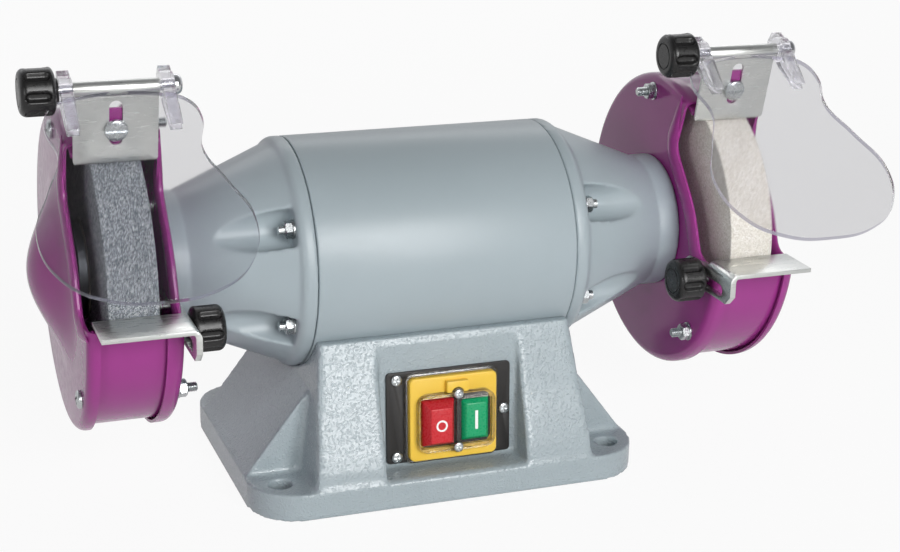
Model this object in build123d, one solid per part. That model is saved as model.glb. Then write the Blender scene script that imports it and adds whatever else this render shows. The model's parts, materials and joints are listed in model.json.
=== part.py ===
from build123d import *
from math import cos, radians, sin
import os

# Frame: X along the spindle, +Y to the back, Z up from the bench, origin midway between the bench bolts

# Driving dimensions, millimetres and degrees
axis_height = 120.0
sheet = 1.5
running_gap = 0.08
seat_gap = 0.02
screw_gap = 0.05
hole_gap = 0.2
assembly_gap = 0.3

foot_length = 216.0
foot_depth = 160.0
foot_corner = 27.0
foot_height = 14.5
foot_ledge = 1.5
block_corner = 2.5
bolt_spacing_x = 184.0
bolt_spacing_y = 124.0
bolt_hole_radius = 6.0
pedestal_top = axis_height - 34.0
pedestal_foot_half = 77.5
pedestal_top_half = 69.5
pedestal_top_depth = 56.0
wing_half_depth = 48.5
wing_reach = 107.0
wing_slope = 1.31
cavity_half = 66.0
cavity_front = -52.0
cavity_back = 66.0
cavity_top = axis_height - 71.0
cavity_draft = 5.0
bottom_plate_margin = 9.0
bottom_plate_thick = 2.0

panel_tilt = 3.7
panel_height = 42.5
panel_depth = -59.8
recess_half = 39.0
recess_bottom = -26.5
recess_height = 60.0
recess_lean = 6.0
window_width = 46.0
window_height = 44.0
window_centre = 1.5

barrel_radius = 61.0
barrel_half = 70.5
barrel_wall = 5.5
bell_rim = 5.5
bell_shoulder = 3.0
edge_break = 0.6
collar_radius = 36.0
collar_start = 132.0
tie_rod_circle = barrel_radius - 9.5
tie_rod_radius = 2.5
tie_rod_angles = (30, 150, 210, 330)
pocket_radius = 10.0
small_nut_width = 8.0
small_nut_thick = 4.0
washer_radius = 5.0
washer_thick = 1.0
bearing_radius = 20.0
bearing_width = 12.0
bearing_start = 112.0
bearing_bore = 8.5
ball_circle = 14.3
ball_radius = 3.2
ball_count = 8

stator_half = 32.0
stator_bore = barrel_radius - 27.6
slot_count = 24
slot_width = 4.0
slot_depth = 12.5
air_gap = 0.5
rotor_shaft_radius = 10.0

wheel_radius = 75.0
wheel_width = 25.0
wheel_centre = 166.5
wheel_shaft_radius = 8.0
blotter_thick = 1.0
flange_radius = 25.0
flange_thick = 7.0
nut_thick = 9.0
nut_width = 24.0

guard_back_face = 143.0
guard_cover_face = 190.5
guard_radius = 82.5
guard_corner = 5.0
guard_back_lip = 152.0
guard_cover_lip = 184.0
guard_screw_circle = 73.0
guard_screw_angles = (94, -43, 205)
guard_screw_radius = 2.5
band_radius = 79.5
band_mouth = (-4.0, 61.5)
boss_height = 16.5
boss_radius = 54.0
mouth_ledge = -5.5
mouth_corner = 7.0
guard_bore = 20.0
bead_width = 6.0
bead_height = 1.3

rest_top = axis_height - 1.5
rest_thick = 3.0
rest_front = -103.0
rest_back = -76.5
rest_outer_end = 187.0
rest_leg_drop = 17.0
rest_bevel = 7.0
rest_leg_end = -46.0
rest_stud_y = -70.0
rest_stud_z = axis_height - 13.0
rest_stud_radius = 3.0
rest_travel = (-14.0, 1.0)

deflector_lean = 13.5
deflector_half = 20.5
deflector_bottom = -1.5
deflector_screw = 14.5
deflector_slot = (7.5, 30.0)
deflector_slot_width = 6.5
tab_half = 17.5
tab_height = 25.0
tab_thick = 2.0
rod_reach = 36.6
rod_radius = 2.5
eye_radius = 3.8
clip_width = 6.0
clip_radius = 6.5
clip_half = 5.0
lug_top = 9.5
lug_half = 3.6
finger_end = 27.0
finger_tip = 2.2
shield_angle = 55.5
shield_thick = 3.0
shield_top = 6.0
knob_radius = 11.5
knob_body = 15.0
knob_corner = 2.0
knob_neck_radius = 6.0
knob_groove_radius = 3.2
knob_groove_margin = 4.0
knob_groove_count = 7


def along_x(radius, start, end, y=0.0, z=axis_height):
    return Pos((start + end) / 2, y, z) * Rot(0, 90, 0) * Cylinder(radius, end - start)


def turned(points):
    outline = Polyline(*points, close=True)
    return Pos(0, 0, axis_height) * revolve(make_face(Plane.XZ * outline), Axis.X)


def around_axis(shape, degrees):
    # turns a piece about the spindle, from the front upwards
    return Pos(0, 0, axis_height) * Rot(-degrees, 0, 0) * shape


def rim_point(radius, degrees):
    return -radius * cos(radians(degrees)), axis_height + radius * sin(radians(degrees))


def hexagon_x(width, start, end, y=0.0, z=axis_height):
    prism = extrude(RegularPolygon(width / 2, 6, major_radius=False), end - start)
    return Pos(start, y, z) * Rot(0, 90, 0) * prism


def mirrored(piece):
    return mirror(piece, about=Plane.YZ)


def save(name, *solids):
    shape = solids[0] if len(solids) == 1 else Compound(children=list(solids))
    export_step(shape, f"parts/{name}.step")


def save_pair(name, piece):
    save(f"right_{name}", piece)
    save(f"left_{name}", mirrored(piece))


os.makedirs("parts", exist_ok=True)

# Pedestal: foot, leaning block, sloping wings, saddle, switch recess and a cavity open below
panel = Plane(
    origin=(0, panel_depth, panel_height),
    x_dir=(1, 0, 0),
    z_dir=(0, -cos(radians(panel_tilt)), sin(radians(panel_tilt))),
)
saddle_radius = barrel_radius + seat_gap
block_depth = foot_depth / 2 - foot_ledge
cavity_length = cavity_back - cavity_front
cavity_centre = (cavity_back + cavity_front) / 2
plate_length = 2 * (cavity_half + bottom_plate_margin)
plate_depth = cavity_length + 2 * bottom_plate_margin
saddle_bolt_x = 45.0
saddle_bolt_radius = 3.0
saddle_cap = 4.0
lead_hole_radius = 7.0
gland_x = -40.0
gland_z = 30.0
gland_face = 71.0
gland_radius = 8.0
gland_spot_radius = 14.0
gland_bore = 4.0
earth_hole = (-81.0, 18.0)
earth_hole_radius = 1.5
switch_screw_places = [(-29, 21), (-29, -21.5), (31, -1)]
switch_screw_radius = 1.5
plate_lift = 0.4
plate_corner = 5.0
plate_screw_radius = 2.0
plate_screw_inset = 4.5
plate_screw_x = plate_length / 2 - plate_screw_inset
plate_screw_y = plate_depth / 2 - plate_screw_inset
corner_signs = [(sx, sy) for sx in (-1, 1) for sy in (-1, 1)]
plate_screw_places = [(sx * plate_screw_x, cavity_centre + sy * plate_screw_y) for sx, sy in corner_signs]
upright = (Align.CENTER, Align.CENTER, Align.MIN)


def pedestal():
    foot = extrude(RectangleRounded(foot_length, foot_depth, foot_corner), foot_height)
    lower = Pos(0, 0, foot_height) * Rectangle(2 * pedestal_foot_half, 2 * block_depth)
    upper = Pos(0, 0, pedestal_top) * Rectangle(2 * pedestal_top_half, 2 * pedestal_top_depth)
    block = loft([lower.face(), upper.face()])
    corners = block.edges().filter_by(lambda e: abs(e.tangent_at(0.5).Z) > 0.5)
    block = fillet(corners, block_corner)
    wing_top_half = wing_reach - (axis_height - foot_height) / wing_slope
    wing_outline = Polyline(
        (-wing_reach, foot_height - 1),
        (-wing_reach, foot_height),
        (-wing_top_half, axis_height),
        (wing_top_half, axis_height),
        (wing_reach, foot_height),
        (wing_reach, foot_height - 1),
        close=True,
    )
    wings = extrude(make_face(Plane.XZ * wing_outline), wing_half_depth, both=True)
    body = foot + block + wings
    body -= along_x(saddle_radius, -foot_length, foot_length)
    body -= Pos(0, 0, pedestal_top) * Box(foot_length, foot_depth, axis_height, align=upright)
    recess_outline = Polyline(
        (recess_bottom, 0),
        (recess_height, 0),
        (recess_height, recess_height),
        (recess_bottom - recess_lean, recess_height),
        close=True,
    )
    body -= panel * extrude(Plane.YZ * make_face(recess_outline), recess_half, both=True)
    body -= panel * (Pos(window_centre, 0, -4) * Box(window_width, window_height, 10))
    passage_height = window_height / 2 + 4
    passage_middle = 4 - passage_height / 2
    body -= panel * (Pos(window_centre, passage_middle, -15) * Box(window_width, passage_height, 32))
    inside_low = Pos(0, cavity_centre, 0) * Rectangle(2 * cavity_half, cavity_length)
    roof_half = cavity_half - cavity_draft
    inside_high = Pos(0, cavity_centre, cavity_top) * Rectangle(2 * roof_half, cavity_length - 2 * cavity_draft)
    body -= loft([inside_low.face(), inside_high.face()])
    rebate = Pos(0, cavity_centre, 0) * RectangleRounded(plate_length + 1, plate_depth + 1, plate_corner)
    body -= extrude(rebate, bottom_plate_thick + plate_lift)
    for sx, sy in corner_signs:
        spot = Pos(sx * bolt_spacing_x / 2, sy * bolt_spacing_y / 2, 0)
        body -= spot * Cylinder(bolt_hole_radius, 4 * foot_height)
    for sx in (-1, 1):
        body -= Pos(sx * saddle_bolt_x, 0, axis_height / 2) * Cylinder(saddle_bolt_radius + hole_gap, 40)
    for x, y in plate_screw_places:
        body -= Pos(x, y, 5) * Cylinder(plate_screw_radius + screw_gap, 14)
    for x, y in switch_screw_places:
        body -= panel * (Pos(x, y, 0) * Cylinder(switch_screw_radius + screw_gap, 8))
    body -= Pos(0, 0, axis_height / 2) * Cylinder(lead_hole_radius, 40)
    gland_axis = Pos(gland_x, gland_face, gland_z) * Rot(-90, 0, 0)
    body -= gland_axis * Cylinder(gland_spot_radius, 20, align=upright)
    body -= gland_axis * Cylinder(gland_radius + hole_gap, 40)
    earth_axis = Pos(earth_hole[0], -wing_half_depth, earth_hole[1]) * Rot(90, 0, 0)
    body -= earth_axis * Cylinder(earth_hole_radius, 12)
    return body


save("pedestal", pedestal())

plate_face = Pos(0, cavity_centre, plate_lift) * RectangleRounded(plate_length, plate_depth, plate_corner)
plate = extrude(plate_face, bottom_plate_thick)
plate_screws = []
screw_head_radius = 3.4
for x, y in plate_screw_places:
    plate -= Pos(x, y, 0) * Cylinder(plate_screw_radius + screw_gap, 10)
    sink = Cone(screw_head_radius + hole_gap, plate_screw_radius, 1.4, align=upright)
    plate -= Pos(x, y, plate_lift) * sink
    head = Cone(screw_head_radius, plate_screw_radius - screw_gap, 1.3, align=upright)
    shank = Cylinder(plate_screw_radius - screw_gap, 10.5, align=upright)
    plate_screws.append(Pos(x, y, plate_lift) * (head + shank))
save("bottom_plate", plate)
save("bottom_plate_screws", *plate_screws)

# Motor barrel with its lead hole and the two tapped holes for the saddle bolts
barrel = along_x(barrel_radius, -barrel_half, barrel_half)
barrel = chamfer(barrel.edges().filter_by(GeomType.CIRCLE), edge_break)
barrel -= along_x(barrel_radius - barrel_wall, -barrel_half, barrel_half)
barrel_bottom = axis_height - barrel_radius
barrel -= Pos(0, 0, barrel_bottom) * Cylinder(lead_hole_radius, 16)
saddle_bolts = []
for sx in (-1, 1):
    barrel -= Pos(sx * saddle_bolt_x, 0, barrel_bottom) * Cylinder(saddle_bolt_radius + screw_gap, 16)
    bolt_length = barrel_bottom + barrel_wall - 1 - cavity_top
    bolt = Cylinder(saddle_bolt_radius, bolt_length, align=upright)
    bolt += extrude(RegularPolygon(saddle_bolt_radius + 2, 6, major_radius=False), -saddle_cap)
    saddle_bolts.append(Pos(sx * saddle_bolt_x, 0, cavity_top) * bolt)
save("motor_barrel", barrel)
save("saddle_bolts", *saddle_bolts)

# End bells: spigot, rim, cone, collar, bearing seat and four pockets for the tie-rod nuts
spigot_radius = barrel_radius - barrel_wall - seat_gap
rim_end = barrel_half + bell_rim
cone_start = rim_end + bell_shoulder
cone_radius = barrel_radius - bell_shoulder
seat_radius = bearing_radius + seat_gap
bearing_end = bearing_start + bearing_width
shaft_hole = 12.5
bell_bore = tie_rod_circle - 14.5
spigot_bore = tie_rod_circle - 3.5
spigot_length = 4.5
bell_floor = rim_end - 2
bell = turned(
    [
        (barrel_half, barrel_radius - edge_break),
        (barrel_half + edge_break, barrel_radius),
        (rim_end, barrel_radius),
        (rim_end + 0.4 * bell_shoulder, barrel_radius - 0.25 * bell_shoulder),
        (cone_start, cone_radius),
        (collar_start, collar_radius),
        (guard_back_face - 1, collar_radius),
        (guard_back_face, collar_radius - 1),
        (guard_back_face, shaft_hole),
        (bearing_end, shaft_hole),
        (bearing_end, seat_radius),
        (bearing_start - 6, seat_radius),
        (bearing_start - 10, bell_bore),
        (bell_floor, bell_bore),
        (bell_floor, spigot_bore),
        (barrel_half - spigot_length, spigot_bore),
        (barrel_half - spigot_length, spigot_radius),
        (barrel_half, spigot_radius),
    ]
)
mount_screw_circle = 30.5
mount_screw_radius = 2.0
mount_screw_angles = (90, 210, 330)
for angle in tie_rod_angles:
    channel = along_x(pocket_radius, cone_start, collar_start, -tie_rod_circle, 0)
    opening = Box(collar_start - cone_start, 2 * pocket_radius, 2 * pocket_radius)
    channel += Pos((cone_start + collar_start) / 2, -tie_rod_circle - pocket_radius, 0) * opening
    bell -= around_axis(channel, angle)
    bell -= around_axis(along_x(tie_rod_radius + hole_gap, 0, 100, -tie_rod_circle, 0), angle)
for angle in mount_screw_angles:
    tapped_end = guard_back_face - 14
    tapped = along_x(mount_screw_radius + screw_gap, tapped_end, guard_back_face + 1, -mount_screw_circle, 0)
    bell -= around_axis(tapped, angle)
save_pair("end_bell", bell)

# Tie rods through the motor, with a washer and a nut in each pocket
rod_end = cone_start + 8.5
tie_rods = []
tie_rod_nuts = []
for angle in tie_rod_angles:
    tie_rods.append(around_axis(along_x(tie_rod_radius, -rod_end, rod_end, -tie_rod_circle, 0), angle))
    bore = along_x(tie_rod_radius + screw_gap, 0, rod_end, -tie_rod_circle, 0)
    nut_face = cone_start + washer_thick
    washer = along_x(washer_radius, cone_start, nut_face, -tie_rod_circle, 0)
    nut = hexagon_x(small_nut_width, nut_face, nut_face + small_nut_thick, -tie_rod_circle, 0)
    stack = around_axis((washer + nut) - bore, angle)
    tie_rod_nuts.extend([stack, mirrored(stack)])
save("tie_rods", *tie_rods)
save("tie_rod_nuts", *tie_rod_nuts)

# Stator core with slots, windings with end turns, rotor with end rings, stepped shaft
stator_radius = barrel_radius - barrel_wall - seat_gap
stator_face = Circle(stator_radius) - Circle(stator_bore)
turn_start = stator_half + 1
turn_end = stator_half + 15
turn_low = stator_bore + 2.6
turn_high = turn_low + 10
winding_outline = Polyline(
    (turn_start, turn_low),
    (turn_start, turn_high),
    (turn_end - 1, turn_high + 1),
    (turn_end, turn_high - 4),
    (turn_end - 1, turn_low),
    close=True,
)
end_turn = Pos(0, 0, axis_height) * revolve(make_face(Plane.XZ * winding_outline), Axis.X)
windings = end_turn + mirrored(end_turn)
slot_middle = stator_bore + slot_depth / 2
groove_reach = 8.0
for step in range(slot_count):
    angle = 360 / slot_count * step
    stator_face -= Rot(0, 0, angle) * Pos(slot_middle - 1, 0) * Rectangle(slot_depth + 2, slot_width)
    bar = Pos(0, -slot_middle - 0.4, 0) * Box(2 * turn_start + 2, slot_depth - 3, slot_width - 2 * assembly_gap)
    windings += around_axis(bar, angle)
for angle in tie_rod_angles:
    groove = SlotCenterToCenter(2 * groove_reach, 2 * tie_rod_radius + 1.4)
    stator_face -= Rot(0, 0, angle) * Pos(tie_rod_circle + groove_reach, 0) * groove
stator = Pos(0, 0, axis_height) * extrude(Plane.YZ * stator_face, stator_half, both=True)
save("stator_core", stator)
save("stator_windings", windings)

rotor_radius = stator_bore - air_gap
ring_length = 7.0
ring_low = rotor_radius - 9
half_rotor = [
    (stator_half, rotor_radius),
    (stator_half + ring_length, rotor_radius - 2),
    (stator_half + ring_length, ring_low),
    (stator_half, ring_low - 1),
    (stator_half, rotor_shaft_radius + seat_gap),
]
rotor = turned([(-x, r) for x, r in reversed(half_rotor)] + half_rotor)
save("rotor", rotor)

wheel_inner = wheel_centre - wheel_width / 2
wheel_outer = wheel_centre + wheel_width / 2
flange_inner = wheel_inner - blotter_thick - flange_thick
flange_outer = wheel_outer + blotter_thick
nut_start = flange_outer + flange_thick
shaft_end = nut_start + nut_thick + 3
half_shaft = [
    (bearing_start, rotor_shaft_radius),
    (bearing_start, bearing_bore),
    (flange_inner, bearing_bore),
    (flange_inner, wheel_shaft_radius),
    (shaft_end - 1, wheel_shaft_radius),
    (shaft_end, wheel_shaft_radius - 1),
    (shaft_end, 0),
]
save("shaft", turned([(-x, r) for x, r in reversed(half_shaft)] + half_shaft))

# Ball bearings: grooved rings and balls
bearing_middle = bearing_start + bearing_width / 2
race = Pos(bearing_middle, 0, axis_height) * Rot(0, 90, 0) * Torus(ball_circle, ball_radius + 0.1)
race_half_gap = 2.1
outer_ring = along_x(bearing_radius, bearing_start, bearing_end)
outer_ring -= along_x(ball_circle + race_half_gap, bearing_start, bearing_end)
outer_ring -= race
inner_ring = along_x(ball_circle - race_half_gap, bearing_start, bearing_end)
inner_ring -= along_x(bearing_bore + seat_gap, bearing_start, bearing_end)
inner_ring -= race
balls = []
for step in range(ball_count):
    ball = Pos(bearing_middle, -ball_circle, 0) * Sphere(ball_radius)
    ball = around_axis(ball, 360 / ball_count * step)
    balls.extend([ball, mirrored(ball)])
save("bearing_outer_rings", outer_ring, mirrored(outer_ring))
save("bearing_inner_rings", inner_ring, mirrored(inner_ring))
save("bearing_balls", *balls)

# Grinding wheels with their blotters, dished flanges and nuts
bore_radius = wheel_shaft_radius + seat_gap
wheel_bore = bore_radius + 0.1
wheel_corner = 1.5
wheel = turned(
    [
        (wheel_inner, wheel_bore),
        (wheel_inner, wheel_radius - wheel_corner),
        (wheel_inner + wheel_corner, wheel_radius),
        (wheel_outer - wheel_corner, wheel_radius),
        (wheel_outer, wheel_radius - wheel_corner),
        (wheel_outer, wheel_bore),
    ]
)
save_pair("wheel", wheel)
blotters = []
for start in (wheel_inner - blotter_thick, wheel_outer):
    disc = along_x(flange_radius + 1, start, start + blotter_thick)
    disc -= along_x(bore_radius + 0.5, start, start + blotter_thick)
    blotters.extend([disc, mirrored(disc)])
save("wheel_blotters", *blotters)
hub_radius = 2 * wheel_shaft_radius
relief_radius = flange_radius - 8
flange = turned(
    [
        (flange_inner, bore_radius),
        (flange_inner, hub_radius),
        (flange_inner + 3, flange_radius),
        (flange_inner + flange_thick, flange_radius),
        (flange_inner + flange_thick, relief_radius + 1),
        (flange_inner + flange_thick - 1, relief_radius),
        (flange_inner + flange_thick - 1, bore_radius),
    ]
)
outer_flange = mirror(flange, about=Plane.YZ.offset(wheel_centre))
save("inner_wheel_flanges", flange, mirrored(flange))
save("outer_wheel_flanges", outer_flange, mirrored(outer_flange))
wheel_nut = hexagon_x(nut_width, nut_start, nut_start + nut_thick)
wheel_nut -= along_x(bore_radius, nut_start, nut_start + nut_thick)
save("wheel_nuts", wheel_nut, mirrored(wheel_nut))

# Wheel guards: back dish, band with its screw ears and deflector tab, dished cover with a boss
half_sheet = sheet / 2
mouth_outline = FilletPolyline(
    (-37.5, guard_radius + 2.5),
    (-24, 46),
    (-50, 15),
    (-61, mouth_ledge),
    (-1.5 * guard_radius, mouth_ledge),
    (-1.5 * guard_radius, guard_radius + 2.5),
    radius=mouth_corner,
    close=True,
)
mouth_face = make_face(mouth_outline)
mouth_cut = Pos(0, 0, axis_height) * extrude(Plane.YZ * mouth_face, 300)


def dish(points):
    line = FilletPolyline(*points, radius=guard_corner - half_sheet)
    section = Plane.XZ * trace(line, sheet)
    return Pos(0, 0, axis_height) * revolve(section, Axis.X)


def screw_holes(piece, radius):
    for angle in guard_screw_angles:
        piece -= around_axis(along_x(radius, 100, 300, -guard_screw_circle, 0), angle)
    return piece


lip_radius = guard_radius - half_sheet
back_line = guard_back_face + half_sheet
guard_back = dish([(back_line, guard_bore), (back_line, lip_radius), (guard_back_lip, lip_radius)])
bead_ring = offset(mouth_face, bead_width) - mouth_face
bead_zone = Circle(guard_radius - guard_corner) & (Pos(-50, 53) * Rectangle(100, 100))
bead = extrude(Plane.YZ * (bead_ring & bead_zone), -bead_height)
guard_back += Pos(guard_back_face, 0, axis_height) * bead
guard_back -= mouth_cut
guard_back = screw_holes(guard_back, guard_screw_radius + hole_gap)
for angle in mount_screw_angles:
    clear_hole = along_x(mount_screw_radius + 0.7, guard_back_face - 5, guard_back_lip, -mount_screw_circle, 0)
    guard_back -= around_axis(clear_hole, angle)
stud_hole = rest_stud_radius + hole_gap
guard_back -= along_x(stud_hole, guard_back_face - 5, guard_back_lip, rest_stud_y, rest_stud_z)
save_pair("guard_back", guard_back)

cover_line = guard_cover_face - half_sheet


def boss_curve(shift):
    return Spline(
        (cover_line + boss_height + shift, 0),
        (cover_line + 0.8 * boss_height + shift, 0.3 * boss_radius),
        (cover_line + 0.2 * boss_height + shift, 0.74 * boss_radius),
        (cover_line + shift, boss_radius),
        tangents=((0, 1), (0, 1)),
    )


boss_outer = boss_curve(half_sheet)
boss_inner = boss_curve(-half_sheet)
boss_ends = [Line(boss_outer @ end, boss_inner @ end) for end in (0, 1)]
boss_section = make_face([Plane.XZ * edge for edge in [boss_outer, boss_inner] + boss_ends])
guard_cover = dish([(cover_line, boss_radius), (cover_line, lip_radius), (guard_cover_lip, lip_radius)])
guard_cover += Pos(0, 0, axis_height) * revolve(boss_section, Axis.X)
cover_bead = extrude(Plane.YZ * (bead_ring & bead_zone), bead_height)
guard_cover += Pos(guard_cover_face, 0, axis_height) * cover_bead
guard_cover -= mouth_cut
guard_cover = screw_holes(guard_cover, guard_screw_radius + hole_gap)
save_pair("guard_cover", guard_cover)

ear_start = guard_back_face + sheet + hole_gap
ear_end = guard_cover_face - sheet - hole_gap
band_inset = 0.9
band_start = ear_start + band_inset
band_end = ear_end - band_inset
band = along_x(band_radius, band_start, band_end) - along_x(band_radius - sheet, band_start, band_end)
reach = 2 * band_radius
ear_length = 12.4
ear_width = 12.0
ear_middle = band_radius - sheet + hole_gap - ear_length / 2
wedge = Polyline(
    (0, 0),
    (-reach * cos(radians(band_mouth[0])), reach * sin(radians(band_mouth[0]))),
    (-reach, reach),
    (-reach * cos(radians(band_mouth[1])), reach * sin(radians(band_mouth[1]))),
    close=True,
)
band -= Pos(0, 0, axis_height) * extrude(Plane.YZ * make_face(wedge), 300)
for start in (ear_start, ear_end - sheet):
    for angle in guard_screw_angles:
        ear = Pos(start + half_sheet, -ear_middle, 0) * Box(sheet, ear_length, ear_width)
        band += around_axis(ear, angle)
band = screw_holes(band, guard_screw_radius + hole_gap)
band_edge_y, band_edge_z = rim_point(band_radius - half_sheet, band_mouth[1])
lean = radians(deflector_lean)
tab_plane = Plane(
    origin=(wheel_centre, band_edge_y, band_edge_z),
    x_dir=(1, 0, 0),
    z_dir=(0, -cos(lean), -sin(lean)),
)
tab = Pos(0, tab_height / 2, 0) * Box(2 * tab_half, tab_height, tab_thick)
tab -= Pos(0, deflector_screw, 0) * Cylinder(guard_screw_radius + hole_gap, 10)
band += tab_plane * tab
save_pair("guard_band", band)

# Guard fasteners: bolts, washers and nuts on the back, screws and nuts on the cover, screws into the collar
guard_bolts = []
guard_washers = []
guard_nuts = []
cover_screws = []
mount_screws = []
ear_inner = ear_start + sheet
pan_radius = 4.7
pan_height = 2.8
bolt_reach = 10.5
ear_outer = ear_end - sheet
for angle in guard_screw_angles:
    hole = along_x(guard_screw_radius + screw_gap, 100, 300, -guard_screw_circle, 0)
    bolt = along_x(pan_radius, ear_inner, ear_inner + pan_height, -guard_screw_circle, 0)
    bolt += along_x(guard_screw_radius, guard_back_face - bolt_reach, ear_inner, -guard_screw_circle, 0)
    nut_top = guard_back_face - washer_thick
    washer = along_x(washer_radius, nut_top, guard_back_face, -guard_screw_circle, 0) - hole
    nut = hexagon_x(small_nut_width, nut_top - small_nut_thick, nut_top, -guard_screw_circle, 0) - hole
    screw = along_x(pan_radius, guard_cover_face, guard_cover_face + pan_height, -guard_screw_circle, 0)
    screw_tip = ear_outer - small_nut_thick - 1
    screw += along_x(guard_screw_radius, screw_tip, guard_cover_face, -guard_screw_circle, 0)
    cover_nut = hexagon_x(small_nut_width, ear_outer - small_nut_thick, ear_outer, -guard_screw_circle, 0)
    cover_nut -= hole
    for group, piece in (
        (guard_bolts, bolt),
        (guard_washers, washer),
        (guard_nuts, nut),
        (cover_screws, screw),
        (guard_nuts, cover_nut),
    ):
        placed = around_axis(piece, angle)
        group.extend([placed, mirrored(placed)])
for angle in mount_screw_angles:
    inside = guard_back_face + sheet
    screw = along_x(2 * mount_screw_radius, inside, inside + 2.6, -mount_screw_circle, 0)
    screw += along_x(mount_screw_radius, guard_back_face - 12, inside, -mount_screw_circle, 0)
    placed = around_axis(screw, angle)
    mount_screws.extend([placed, mirrored(placed)])
save("guard_bolts", *guard_bolts)
save("guard_washers", *guard_washers)
save("guard_nuts", *guard_nuts)
save("cover_screws", *cover_screws)
save("guard_mount_screws", *mount_screws)


# Fluted clamping knob: neck, scalloped body with a rounded end, blind bore
def knob(neck, bore, bore_depth):
    body = Pos(0, 0, neck) * Cylinder(knob_radius, knob_body, align=upright)
    body = fillet(body.edges().filter_by(GeomType.CIRCLE), knob_corner)
    flute_length = knob_body - 2 * knob_groove_margin
    flute = Cylinder(knob_groove_radius, flute_length, align=upright)
    flute += Sphere(knob_groove_radius)
    flute += Pos(0, 0, flute_length) * Sphere(knob_groove_radius)
    out = knob_radius + knob_groove_radius / 2
    for step in range(knob_groove_count):
        turn = Rot(0, 0, 360 / knob_groove_count * step)
        body -= turn * Pos(out, 0, neck + knob_groove_margin) * flute
    body += Cylinder(knob_neck_radius, neck + 2, align=upright)
    return body - Cylinder(bore, 2 * bore_depth)


# Tool rests: bent plate with a slotted leg, carriage stud through the guard, knob
leg_outer = guard_back_face - assembly_gap
leg_inner = leg_outer - rest_thick
leg_bottom = rest_top - rest_leg_drop
rest_line = FilletPolyline(
    (leg_outer - rest_thick / 2, leg_bottom),
    (leg_outer - rest_thick / 2, rest_top - rest_thick / 2),
    (rest_outer_end, rest_top - rest_thick / 2),
    radius=rest_thick,
)
rest = Pos(0, rest_back, 0) * extrude(Plane.XZ * trace(rest_line, rest_thick), rest_back - rest_front)
tail_top = rest_top - 1.25 * rest_thick
tail_start = rest_back - 5
tail_length = rest_leg_end - tail_start
tail = Box(rest_thick, tail_length, tail_top - leg_bottom, align=(Align.MIN, Align.MIN, Align.MIN))
rest += Pos(leg_inner, tail_start, leg_bottom) * tail
slot_half = (rest_travel[1] - rest_travel[0]) / 2
slot_centre = rest_stud_y - (rest_travel[0] + rest_travel[1]) / 2
rest_slot = SlotCenterToCenter(2 * slot_half, 2 * (rest_stud_radius + assembly_gap))
rest -= Pos(leg_inner - 5, slot_centre, rest_stud_z) * extrude(Plane.YZ * rest_slot, 20)
front_corner = Pos(leg_inner - 5, rest_front, leg_bottom) * Rot(45, 0, 0) * Box(30, rest_bevel, rest_bevel)
rest -= front_corner
save_pair("tool_rest", rest)
knob_face = leg_inner - assembly_gap
rest_knob_neck = 2.0
stud_head = guard_back_face + sheet
stud_grip = 11.0
stud = along_x(2 * rest_stud_radius, stud_head, stud_head + 3, rest_stud_y, rest_stud_z)
stud += along_x(rest_stud_radius, knob_face - stud_grip, stud_head, rest_stud_y, rest_stud_z)
save("rest_studs", stud, mirrored(stud))
rest_knob = knob(rest_knob_neck, rest_stud_radius + running_gap, stud_grip + 1)
rest_knob = Pos(knob_face, rest_stud_y, rest_stud_z) * Rot(0, -90, 0) * rest_knob
save_pair("rest_knob", rest_knob)

# Spark deflectors: slotted plate rolled into an eye, clamped on the guard tab
plate_under = tab_thick / 2 + running_gap
plate_middle = plate_under + half_sheet
plate_top = rod_reach - eye_radius + 0.6
deflector = Pos(0, (deflector_bottom + plate_top) / 2, plate_middle) * Box(
    2 * deflector_half, plate_top - deflector_bottom, sheet
)
deflector += Pos(0, rod_reach, plate_middle) * Rot(0, 90, 0) * Cylinder(eye_radius, 2 * deflector_half)
deflector -= Pos(0, rod_reach, plate_middle) * Rot(0, 90, 0) * Cylinder(rod_radius + seat_gap, 60)
slot_length = deflector_slot[1] - deflector_slot[0]
deflector_slot_face = Rot(0, 0, 90) * SlotOverall(slot_length, deflector_slot_width)
deflector -= Pos(0, sum(deflector_slot) / 2, -5) * extrude(deflector_slot_face, 20)
save_pair("deflector_plate", tab_plane * deflector)
screw_seat = plate_under + sheet + running_gap
screw_dome = 9.0
screw_head = 6.5
dome = Pos(0, 0, -screw_head) * Sphere(screw_dome)
dome = dome & Cylinder(screw_head, screw_dome - screw_head, align=upright)
shank_end = -tab_thick / 2 - 6
shank = Pos(0, 0, shank_end) * Cylinder(guard_screw_radius, screw_seat + 1 - shank_end, align=upright)
deflector_bolt = Pos(0, deflector_screw, 0) * (Pos(0, 0, screw_seat) * dome + shank)
nut_face = extrude(RegularPolygon(small_nut_width / 2, 6, major_radius=False), -small_nut_thick)
deflector_nut = Pos(0, deflector_screw, -tab_thick / 2) * nut_face
deflector_nut -= Pos(0, deflector_screw, 0) * Cylinder(guard_screw_radius + screw_gap, 20)
bolt_placed = tab_plane * deflector_bolt
nut_placed = tab_plane * deflector_nut
save("deflector_screws", bolt_placed, mirrored(bolt_placed))
save("deflector_nuts", nut_placed, mirrored(nut_placed))

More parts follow.
